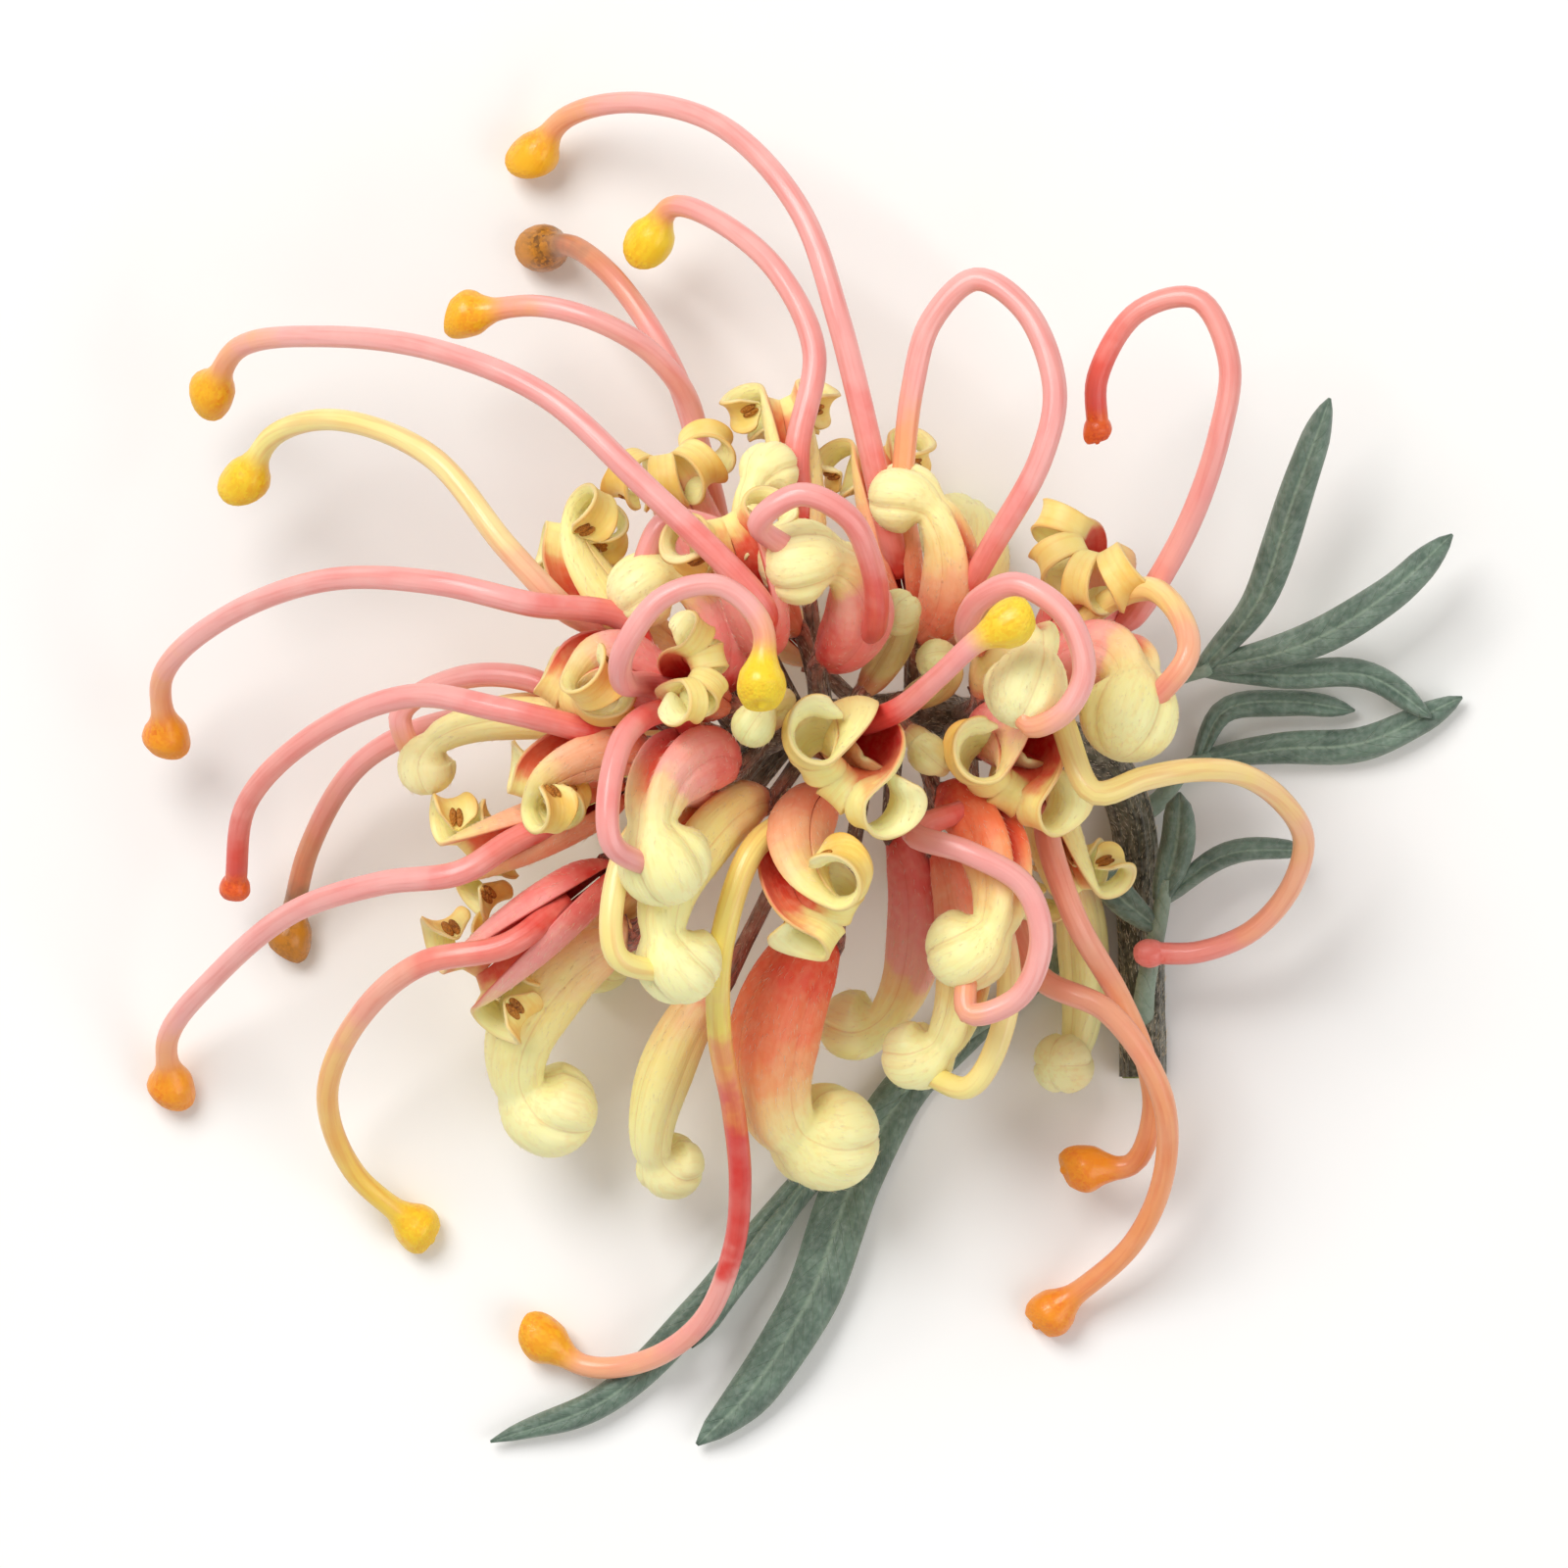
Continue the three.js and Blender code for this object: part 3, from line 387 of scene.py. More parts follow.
class FloretAxis:
    """The curve of a floret's perianth, from its foot to its limb, and the frames along it."""

    SAMPLES = 200

    def __init__(self, floret: Floret) -> None:
        """Lays the curve as the part's source does."""
        self.root = RACHIS.at([floret.at * RACHIS.length])[0]
        limb = np.array(floret.limb, float)
        bow = np.array(floret.bow, float)
        reach = limb - self.root
        away = unit(reach)
        lift = unit(bow - away * (bow @ away))
        length = float(np.clip(np.linalg.norm(reach) * PERIANTH_SHARE, *PERIANTH_LENGTH))
        stalk = max(np.linalg.norm(reach) - length, STALK_LEAST)
        self.foot = self.root + unit(away + 0.12 * lift) * stalk
        chord = limb - self.foot
        span = float(np.linalg.norm(chord))
        along = chord / span
        up = unit(bow - along * (bow @ along))
        rise = PERIANTH_RISE * floret.size
        self.handles = np.array([self.foot, self.foot + 0.15 * chord + rise * up, limb + 1.3 * rise * up, limb])
        self.side = unit(np.cross(along, up))
        t = np.linspace(0, 1, self.SAMPLES)
        steps = np.linalg.norm(np.diff(self.points(t), axis=0), axis=1)
        self.arc = np.concatenate([[0], np.cumsum(steps)])
        self.length = float(self.arc[-1])

    def points(self, places: Array) -> Array:
        """Gives the points at places from 0 to 1."""
        t = np.asarray(places, float)[:, None]
        a, b, c, d = self.handles
        return a * (1 - t) ** 3 + 3 * b * t * (1 - t) ** 2 + 3 * c * t * t * (1 - t) + d * t ** 3

    def frames(self, places: Array) -> tuple[Array, Array, Array]:
        """Gives the points, the ways onward and the backs at places from 0 to 1."""
        t = np.asarray(places, float)[:, None]
        a, b, c, d = self.handles
        onward = unit((b - a) * (1 - t) ** 2 + 2 * (c - b) * t * (1 - t) + (d - c) * t * t)
        return self.points(places), onward, unit(np.cross(self.side, onward))

    def measured(self, distances: Array) -> tuple[Array, Array, Array]:
        """Gives the same at distances from the foot, straight on past either end."""
        held = np.clip(distances, 0, self.length)
        points, onward, back = self.frames(np.interp(held, self.arc, np.linspace(0, 1, self.SAMPLES)))
        return points + onward * (distances - held)[:, None], onward, back

    def beside(self, place: float, away: float) -> Array:
        """Gives the point so far to the back of a place."""
        points, _, back = self.frames(np.array([place]))
        return points[0] + back[0] * away


RACHIS = Route(RACHIS_ROUTE)


def pressed(points: Array) -> Array:
    """Presses what would sink into the table into a thin layer on it."""
    heights = points[..., 2]
    low = PRESSED * np.exp(np.minimum(heights - PRESSED, 0) / PRESSED)
    return np.concatenate([points[..., :2], np.where(heights > PRESSED, heights, low)[..., None]], axis=-1)


@dataclass(frozen=True)
class Silk:
    """Short silky hairs on a shell, each a closed sliver that leans towards the shell's end."""

    count: int
    finish: int
    seed: str
    corners: int = 0
    rows: tuple[float, float] = (0.02, 0.97)
    length: tuple[float, float] = (0.3, 0.7)
    radius: float = 0.017
    rise: float = 0.4

    def slivers(self, rings: Array, turn: int) -> tuple[Array, list[list[int]]]:
        """Sets the hairs evenly over the shell.

        Args:
            rings: The shell's corners, as ring by corner by coordinate.
            turn: 1 where the shell's faces look out by the order of their corners, -1 where they look in.

        Returns:
            The hairs' points, four to a hair, and their faces.
        """
        draw = np.random.default_rng(list(self.seed.encode()))
        first, last = (round(share * (len(rings) - 1)) for share in self.rows)
        grid = rings[first:last + 1]
        grid = grid[:, :self.corners] if self.corners else np.concatenate([grid, grid[:, :1]], axis=1)
        onward = grid[1:, :-1] - grid[:-1, :-1]
        across = grid[:-1, 1:] - grid[:-1, :-1]
        normal = np.cross(across, onward) * turn
        area = np.linalg.norm(normal, axis=-1).ravel()
        pick = draw.choice(len(area), self.count, p=area / area.sum())
        onward, across, normal = (rows.reshape(-1, 3)[pick] for rows in (onward, across, normal))
        up = unit(normal)
        shares = draw.random((self.count, 2))
        foot = grid[:-1, :-1].reshape(-1, 3)[pick] + onward * shares[:, :1] + across * shares[:, 1:] - up * self.radius
        way = unit(unit(onward) + up * self.rise + unit(across) * draw.normal(0, 0.28, (self.count, 1)))
        side = unit(np.cross(way, up))
        other = np.cross(way, side)
        tall = draw.uniform(*self.length, (self.count, 1))
        base = [foot + self.radius * (side * math.cos(a) + other * math.sin(a)) for a in corners_of(3)]
        points = np.stack([*base, foot + way * tall], axis=1).reshape(-1, 3)
        faces = [(0, 2, 1), (0, 1, 3), (1, 2, 3), (2, 0, 3)]
        return points, [[4 * hair + i for i in face] for hair in range(self.count) for face in faces]


class Skin:
    """Collects the closed shells of one piece, with what its finishes read, and makes its mesh."""

    def __init__(self) -> None:
        """Starts an empty skin."""
        self.points: list[Array] = []
        self.faces: list[list[int]] = []
        self.finish: list[int] = []
        self.marks: dict[str, list[Array]] = {"along": [], "inner": [], "rim": [], "straight": []}
        self.count = 0

    def shell(self, rings: Array, straight: Array, along: Array | float = 0.0, inner: Array | float = 0.0,
              rim: Array | float = 0.0, finish: int = 0, silk: Silk | None = None) -> None:
        """Adds a closed shell through rings, with a fan over each end.

        Args:
            rings: The corners, as ring by corner by coordinate.
            straight: The same corners with the shell's bends taken out, for the grain of the finish.
            along: How far along the piece each corner is, from 0 to 1.
            inner: How much each corner belongs to the inner or lower face, from 0 to 1.
            rim: How near each corner is to a margin, from 0 to 1.
            finish: Which of the piece's finishes the shell takes.
            silk: The hairs that the shell bears.
        """
        count, corners = rings.shape[:2]
        row, k = np.meshgrid(np.arange(count - 1), np.arange(corners), indexing="ij")
        a = row * corners + k
        b = row * corners + (k + 1) % corners
        quads = np.stack([a, b, b + corners, a + corners], axis=-1).reshape(-1, 4)
        first = np.arange(corners)
        after = (first + 1) % corners
        total = count * corners
        last = total - corners
        fans = np.vstack([np.stack([np.full(corners, total), after, first], axis=-1),
                          np.stack([np.full(corners, total + 1), last + first, last + after], axis=-1)])
        points = np.vstack([rings.reshape(-1, 3), rings[[0, -1]].mean(axis=1)])
        triangles = np.vstack([quads[:, :3], quads[:, [0, 2, 3]], fans])
        p, q, r = (points[triangles[:, i]] for i in range(3))
        faces = [*quads.tolist(), *fans.tolist()]
        turn = -1 if np.einsum("ij,ij->", p, np.cross(q, r)) < 0 else 1
        marks = {"straight": np.vstack([straight.reshape(-1, 3), straight[[0, -1]].mean(axis=1)])}
        for name, values in (("along", along), ("inner", inner), ("rim", rim)):
            values = np.broadcast_to(np.asarray(values, float), (count, corners))
            marks[name] = np.concatenate([values.ravel(), values[[0, -1]].mean(axis=1)])
        self._add(points, [face[::turn] for face in faces], marks, finish)
        if silk is not None:
            points, faces = silk.slivers(rings, turn)
            bare = dict.fromkeys(("along", "inner", "rim"), np.zeros(len(points)))
            self._add(points, faces, {"straight": points, **bare}, silk.finish)

    def _add(self, points: Array, faces: list[list[int]], marks: dict[str, Array], finish: int) -> None:
        """Adds points and faces with their marks and their finish."""
        self.faces.extend([[i + self.count for i in face] for face in faces])
        self.finish.extend([finish] * len(faces))
        self.points.append(points)
        self.count += len(points)
        for name, values in marks.items():
            self.marks[name].append(values)

    def piece(self, name: str, node: str, slot: str, finishes: Sequence[bpy.types.Material]) -> bpy.types.Object:
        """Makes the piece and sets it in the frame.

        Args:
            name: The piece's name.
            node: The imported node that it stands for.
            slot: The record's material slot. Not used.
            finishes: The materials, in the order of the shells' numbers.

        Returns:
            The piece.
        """
        mesh = bpy.data.meshes.new(name)
        points = (pressed(np.vstack(self.points)) - BOX_MIDDLE) * MM
        mesh.from_pydata(points.tolist(), [], self.faces)
        for mark, rows in self.marks.items():
            values = np.concatenate(rows)
            kind, key = ("FLOAT_VECTOR", "vector") if values.ndim == 2 else ("FLOAT", "value")
            mesh.attributes.new(mark, kind, "POINT").data.foreach_set(key, values.astype(np.float32).ravel())
        for material in finishes:
            mesh.materials.append(material)
        mesh.polygons.foreach_set("material_index", self.finish)
        mesh.shade_smooth()
        mesh.update()
        piece = bpy.data.objects.new(name, mesh)
        bpy.context.scene.collection.objects.link(piece)
        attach(piece, BODY)
        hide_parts(node)
        LOG.info("%s: %d faces, stands for %s", name, len(self.faces), node)
        return piece


def ringed(centres: Array, sides: Array, ups: Array, radii: Array, angles: Array) -> Array:
    """Sets round rings along a curve.

    Args:
        centres: The middle of each ring.
        sides: Which way angle 0 points at each ring.
        ups: Which way a quarter turn points at each ring.
        radii: The radius of each ring, or of each corner of each ring.
        angles: The angle of each corner.

    Returns:
        The corners, as ring by corner by coordinate.
    """
    radii = radii if radii.ndim == 2 else radii[:, None]
    across = (radii * np.cos(angles))[..., None]
    upward = (radii * np.sin(angles))[..., None]
    return centres[:, None] + sides[:, None] * across + ups[:, None] * upward


def unbent(distances: Array, radii: Array, angles: Array, shift: float = 0.0) -> Array:
    """Gives the corners of round rings with the curve between them made straight.

    Args:
        distances: Each ring's distance along the curve.
        radii: The radius of each ring, or of each corner of each ring.
        angles: The angle of each corner.
        shift: How far off along the grain this one begins, so that no two look the same.

    Returns:
        The corners, as ring by corner by coordinate.
    """
    radii = radii if radii.ndim == 2 else radii[:, None]
    length = np.broadcast_to((distances + shift)[:, None], (len(distances), len(angles)))
    return np.stack([length, radii * np.cos(angles), radii * np.sin(angles)], axis=-1)


def corners_of(sides: int) -> Array:
    """Gives the angles of a ring's corners."""
    return np.linspace(0, 2 * math.pi, sides, endpoint=False)


@dataclass
class Rod:
    """A round rod along a route, whose radius follows a profile over its length."""

    route: Route
    radii: Pairs
    sides: int = 14
    step: float = 0.6

    def add_to(self, skin: Skin, finish: int = 0, shift: float = 0.0, silk: Silk | None = None) -> None:
        """Adds the rod to a skin, with one of its finishes, its grain shifted, and its hairs."""
        distances = np.linspace(0, self.route.length, max(4, round(self.route.length / self.step)) + 1)
        tangents = self.route.tangents(distances)
        sides, ups = carried(tangents, np.cross(tangents[0], (0.3, 0.2, 1)))
        share = distances / self.route.length
        radii = profile(self.radii, share)
        angles = corners_of(self.sides)
        skin.shell(ringed(self.route.at(distances), sides, ups, radii, angles),
                   unbent(distances, radii, angles, shift), along=share[:, None], finish=finish, silk=silk)


@dataclass
class ShutPetals:
    """A shut perianth: four petals joined along seams, from the stalk to the round limb."""

    floret: Floret
    tube: Pairs = ((-0.03, 0.2), (0, 0.42), (0.2, 0.86), (0.5, 1), (0.78, 0.84), (1, 0.66))
    neck_room: float = 1.1
    ball_reach: float = 0.62
    sides: int = 48
    step: float = 0.3
    foot_room: float = 0.3
    tip_reach: float = 0.97
    blending: float = 4.0
    seam_width: float = 0.14
    seam_depth: tuple[float, float] = (0.07, 0.13)
    keel: tuple[float, float] = (0.035, 0.02)
    silk: int = 620
    neck_crease: float = 0.08
    flatness: float = 0.93
    slit_width: float = 0.4
    slit_depth: float = 0.5

    def add_to(self, skin: Skin, finish: int = 0, silk_finish: int = 2) -> None:
        """Adds the perianth to a skin, with one of its finishes and another for its hairs."""
        axis = FloretAxis(self.floret)
        ball = LIMB_RADIUS * self.floret.size
        neck = axis.length - self.neck_room - self.ball_reach * ball
        end = axis.length + self.tip_reach * ball
        count = max(24, round((end + self.foot_room) / self.step))
        even = np.linspace(0, 1, count)
        distances = -self.foot_room + (end + self.foot_room) * (even + 0.5 * even * (1 - even) * (2 * even - 1) ** 2)
        distances[-1] = end - TINY
        past = distances - axis.length
        fade = np.sqrt(np.clip(1 - np.maximum(past, 0) ** 2 / (self.tip_reach * ball) ** 2, 0, 1))
        tube = profile(self.tube, distances / neck) * TUBE_RADIUS * self.floret.size * fade
        stretch = np.where(past > 0, self.tip_reach, 1)
        sphere = np.sqrt(np.clip(ball ** 2 - (past / stretch) ** 2, 0, None))
        radii = (tube ** self.blending + sphere ** self.blending) ** (1 / self.blending)
        radii *= 1 - self.neck_crease * np.exp(-((distances - neck - 0.4) / 0.7) ** 2)
        angles = corners_of(self.sides)
        to_seam = (angles + math.pi / 4) % (math.pi / 2) - math.pi / 4
        seam = np.exp(-(to_seam / self.seam_width) ** 2)
        onto_ball = ease(distances, neck, axis.length)[:, None]
        depth, keel = (a + (b - a) * onto_ball for a, b in (self.seam_depth, self.keel))
        shape = 1 - depth * seam - keel * np.cos(4 * angles)
        deep, slit = self._slit(distances / axis.length, angles)
        grid = radii[:, None] * shape * (1 - deep)
        points, _, back = axis.measured(distances)
        narrow = self.flatness + (1 - self.flatness) * ease(distances, neck, axis.length)
        side = np.broadcast_to(axis.side, points.shape) * narrow[:, None]
        along = np.clip(distances / end, 0, 1)
        # The seams also become the rim mark, which the petal finish darkens as painted shade in the grooves
        skin.shell(ringed(points, side, back, grid, angles),
                   unbent(distances, grid, angles, 7 * self.floret.at + self.floret.limb[0]),
                   along=along[:, None], inner=slit, rim=np.broadcast_to(seam, grid.shape), finish=finish,
                   silk=Silk(round(self.silk * self.floret.size ** 2), silk_finish, self.floret.name))

    def _slit(self, places: Array, angles: Array) -> tuple[Array, Array]:
        """Gives how deep the slit in the back of a looped floret is pushed in, and where its inside shows."""
        if self.floret.stage is not Stage.LOOPED:
            none = np.zeros((len(places), len(angles)))
            return none, none
        open_share = ease(places, 0.14, 0.3) * (1 - ease(places, 0.62, 0.82))
        off = np.abs((angles - math.pi / 2 + math.pi) % (2 * math.pi) - math.pi)
        across = np.exp(-(off / self.slit_width) ** 4)
        slit = open_share[:, None] * across
        return self.slit_depth * slit, slit


@dataclass
class OpenPetals:
    """An open perianth: four petals, each one strip from the foot to its rolled tip, with their anthers."""

    floret: Floret
    tube: Pairs = ((0, 0.22), (0.05, 0.52), (0.16, 0.86), (0.42, 1.02), (0.66, 0.9), (0.86, 0.74))
    slit: Pairs = ((0, 3), (0.12, 5), (0.3, 17), (0.5, 33), (0.66, 50), (0.8, 78), (0.86, 88))
    half_width: Pairs = ((0, 0.26), (0.25, 0.36), (0.5, 0.42), (0.78, 0.62), (1, 0.6))
    cup: Pairs = ((0, 0.05), (0.45, 0.1), (0.7, 0.3), (1, 0.36))
    curl: Pairs = ((0, 0.7), (0.4, 0.62), (0.75, 0.46), (1, 0.36))
    hood: float = 0.3
    mouth: float = 0.84
    sweep: float = 305.0
    wall: float = 0.5
    flesh: float = 0.5
    seam: float = 0.97
    tube_rows: int = 22
    roll_rows: int = 34
    face_points: int = 11
    anther: tuple[float, float, float] = (0.85, 0.34, 0.3)
    anther_place: float = 0.84
    silk: int = 160

    def add_to(self, skin: Skin) -> None:
        """Adds the four petals and their anthers to a skin: finish 0 is petal, 1 is anther."""
        axis = FloretAxis(self.floret)
        draw = random.Random(f"petals {self.floret.name}")
        for number in range(4):
            self._petal(skin, axis, number, draw)

    def _petal(self, skin: Skin, axis: FloretAxis, number: int, draw: random.Random) -> None:
        """Adds one petal, whose tip rolls a little differently from the others."""
        size = LIMB_RADIUS * self.floret.size
        lobe_start = self.mouth - 0.2 * size / axis.length
        places = np.linspace(0, lobe_start - 0.7 / axis.length, self.tube_rows)
        middles, onward, back = axis.frames(places)
        gap = profile(self.slit, places)
        turn = np.radians((number - 1.5) * (180 - gap) / 2)[:, None]
        out = -back * np.cos(turn) + axis.side * np.sin(turn)
        spread = np.radians((180 - gap) / 4)
        radius = profile(self.tube, places) * TUBE_RADIUS * self.floret.size - self.wall / 2
        tube = middles + out * radius[:, None]

        sweep = math.radians(self.sweep + draw.uniform(-34, 14))
        tightness = draw.uniform(0.88, 1.08)
        lean = draw.uniform(-0.5, 0.5)
        swell = draw.uniform(0.92, 1.06)
        share = np.linspace(0.05, 1, self.roll_rows)
        angle = (sweep * share)[:, None]
        (centre,), (ahead,), (behind,) = axis.frames(np.array([self.mouth]))
        aside = math.radians((number - 1.5) * 46)
        outward = -behind * math.cos(aside) + axis.side * math.sin(aside)
        heart = centre - 0.2 * size * ahead + (0.46 + self.curl[0][1]) * size * outward
        convex = -outward * np.cos(angle) + ahead * np.sin(angle)
        reach = profile(self.curl, share) * (1 + (tightness - 1) * share) + self.hood * ease(share, 0.86, 1.02) ** 2
        rolled = heart + convex * (reach * size)[:, None]
        across = np.cross(ahead, outward)
        rolled += across * (lean * share ** 2)[:, None]

        tip = np.sqrt(np.clip(1 - (np.maximum(share - 0.74, 0) / 0.265) ** 2, 0.02, 1))
        path = softened(np.vstack([tube, rolled]), 3)
        normals = softened(np.vstack([out, -convex]), 2)
        half = softened(np.concatenate([radius * np.sin(spread) * self.seam,
                                        profile(self.half_width, share) * size * swell * tip]), 3)
        crown = softened(np.concatenate([radius * (1 - np.cos(spread)),
                                         profile(self.cup, share) * size * swell * tip]), 3)
        thick = softened(np.concatenate([np.full(len(places), self.wall), self.flesh * (0.35 + 0.65 * tip)]), 2)
        silk = Silk(self.silk, 2, f"{self.floret.name} {number}", corners=self.face_points)
        self._strip(skin, path, normals, half, crown, thick, draw.uniform(0, 40), silk)
        self._anther(skin, path, normals, len(places) + round(self.anther_place * self.roll_rows), draw)

    def _strip(self, skin: Skin, path: Array, normals: Array, half: Array, crown: Array, thick: Array,
               shift: float, silk: Silk) -> None:
        """Adds a closed strip with a crowned section.

        Args:
            skin: The skin that takes it.
            path: The middle of each row.
            normals: Which way the petal's outer face looks, roughly.
            half: Half the width of each row.
            crown: How far the margins lie under the middle.
            thick: How thick each row is in its middle.
            shift: How far the grain is shifted.
            silk: The hairs on its outer face.
        """
        tangents = unit(np.gradient(path, axis=0))
        normals = unit(normals - tangents * np.sum(normals * tangents, axis=1, keepdims=True))
        across = np.cross(tangents, normals)
        u = np.sin(np.linspace(-0.5, 0.5, self.face_points) * math.pi)
        bend = np.abs(u) ** 2.2
        middle = (path[:, None] + across[:, None] * (half[:, None] * u)[..., None]
                  - normals[:, None] * (crown[:, None] * bend)[..., None])
        slope = unit(normals[:, None] * half[:, None, None] + across[:, None] * (2 * crown[:, None] * u)[..., None])
        wall = slope * (thick[:, None] * (1 - 0.45 * u * u) / 2)[..., None]
        rings = np.concatenate([middle + wall, (middle - wall)[:, ::-1]], axis=1)
        steps = np.concatenate([[0], np.cumsum(np.linalg.norm(np.diff(path, axis=0), axis=1))])
        both = np.concatenate([u, u[::-1]])
        inner = np.concatenate([np.zeros(len(u)), np.ones(len(u))])
        shape = (len(path), len(both))
        straight = np.stack([np.broadcast_to(steps[:, None] + shift, shape), half[:, None] * both,
                             np.broadcast_to(3 * inner, shape)], axis=-1)
        tube_share = steps[self.tube_rows - 1]
        along = np.where(steps < tube_share, 0.6 * steps / tube_share,
                         0.6 + 0.4 * (steps - tube_share) / (steps[-1] - tube_share))
        skin.shell(rings, straight, along=along[:, None], inner=np.broadcast_to(inner, shape),
                   rim=np.broadcast_to(np.abs(both), shape), silk=silk)

    def _anther(self, skin: Skin, path: Array, normals: Array, row: int, draw: random.Random) -> None:
        """Adds the two halves of an anther on the inner face of a petal's tip."""
        long, wide, high = (value * self.floret.size for value in self.anther)
        tangent = unit(path[row + 1] - path[row - 1])
        face = -unit(normals[row] - tangent * (normals[row] @ tangent))
        side = np.cross(tangent, face)
        shares = np.sin(np.linspace(-0.48, 0.48, 9) * math.pi)
        angles = corners_of(10)
        for hand in (-1, 1):
            centres = (path[row] + face * (self.flesh * 0.5 + 0.3 * high) + side * hand * 0.85 * wide
                       + tangent * (long * shares)[:, None])
            radii = np.sqrt(1 - shares ** 2)
            rings = (centres[:, None] + side * (radii[:, None] * np.cos(angles) * wide)[..., None]
                     + face * (radii[:, None] * np.sin(angles) * high)[..., None])
            skin.shell(rings, unbent(long * shares, radii * wide, angles, draw.uniform(0, 9)), finish=1)


@dataclass
class Pistil:
    """A free pistil: a wiry style out of the slit in its petals, and an oblique pollen knob."""

    floret: Floret
    radii: Pairs = ((0, 0.8), (0.06, 1), (0.3, 0.95), (0.86, 0.84), (1, 0.86))
    knob: Pairs = ((-1.9, 0.46), (-1.3, 0.5), (-0.75, 0.68), (-0.25, 0.94), (0.25, 1.02), (0.62, 0.95),
                   (0.86, 0.8))
    face: tuple[tuple[float, float], ...] = ((0.97, 0.72), (1.02, 0.6), (1, 0.46), (0.96, 0.3), (1.02, 0.2),
                                             (1.14, 0.14), (1.18, 0.05))
    tilt: float = 0.42
    sides: int = 20
    step: float = 0.6

    def add_to(self, skin: Skin) -> None:
        """Adds the pistil to a skin."""
        axis = FloretAxis(self.floret)
        bore = TUBE_RADIUS * self.floret.size
        start = axis.beside(0.46, bore + SEAT_GAP)
        route = Route([axis.beside(0.24, 0.3 * bore), start, *self.floret.style])
        ball = KNOB_RADIUS * self.floret.knob
        neck = route.length + self.knob[0][0] * ball
        distances = np.linspace(0, neck, max(8, round(neck / self.step)), endpoint=False)
        style = profile(self.radii, distances / neck) * STYLE_RADIUS
        on = np.linspace(self.knob[0][0], self.knob[-1][0], 22)
        rim = np.array(self.face)
        stations = np.concatenate([distances, route.length + on * ball, route.length + rim[:, 0] * ball])
        club = np.maximum(profile(self.knob, on) * ball, style[-1] * (1 - ease(on, 0.2, 0.9) * 0.2))
        radii = np.concatenate([style, club, rim[:, 1] * ball])
        held = np.minimum(stations, route.length)
        tangents = route.tangents(held)
        sides, ups = carried(tangents, np.cross(tangents[0], (0.3, 0.2, 1)))
        centres = route.at(held) + tangents * (stations - held)[:, None]
        angles = corners_of(self.sides)
        rings = ringed(centres, sides, ups, radii, angles)
        shares = (stations - route.length) / ball
        way = random.Random(f"knob {self.floret.name}").uniform(0, 2 * math.pi)
        slant = self.tilt * ease(shares, -0.6, 0.8)[:, None] * radii[:, None] * np.cos(angles - way)
        rings += tangents[:, None] * slant[..., None]
        skin.shell(rings, unbent(stations, radii, angles, 5 * self.floret.at),
                   along=np.clip(stations / route.length, 0, 1)[:, None], inner=ease(shares, 0.05, 0.6)[:, None],
                   rim=ease(shares, -1.9, -0.7)[:, None])


@dataclass
class CaughtStyle:
    """The style of a looped floret: out of the slit and back into the limb that still holds its tip."""

    floret: Floret
    radii: Pairs = ((0, 0.8), (0.2, 0.95), (0.8, 0.9), (1, 0.85))
    arch: Pairs = ((0.36, 1.35), (0.6, 1.85), (0.84, 1.8))

    def add_to(self, skin: Skin) -> None:
        """Adds the style to a skin."""
        axis = FloretAxis(self.floret)
        bore = TUBE_RADIUS * self.floret.size
        ball = LIMB_RADIUS * self.floret.size
        free = self.floret.loop or tuple(axis.beside(place, away * bore) for place, away in self.arch)
        route = Route([axis.beside(0.22, 0.4 * bore), *free, axis.beside(1, 0.3 * ball)])
        radii = tuple((place, value * STYLE_RADIUS) for place, value in self.radii)
        Rod(route, radii, sides=18, step=0.5).add_to(skin, shift=9 * self.floret.at)


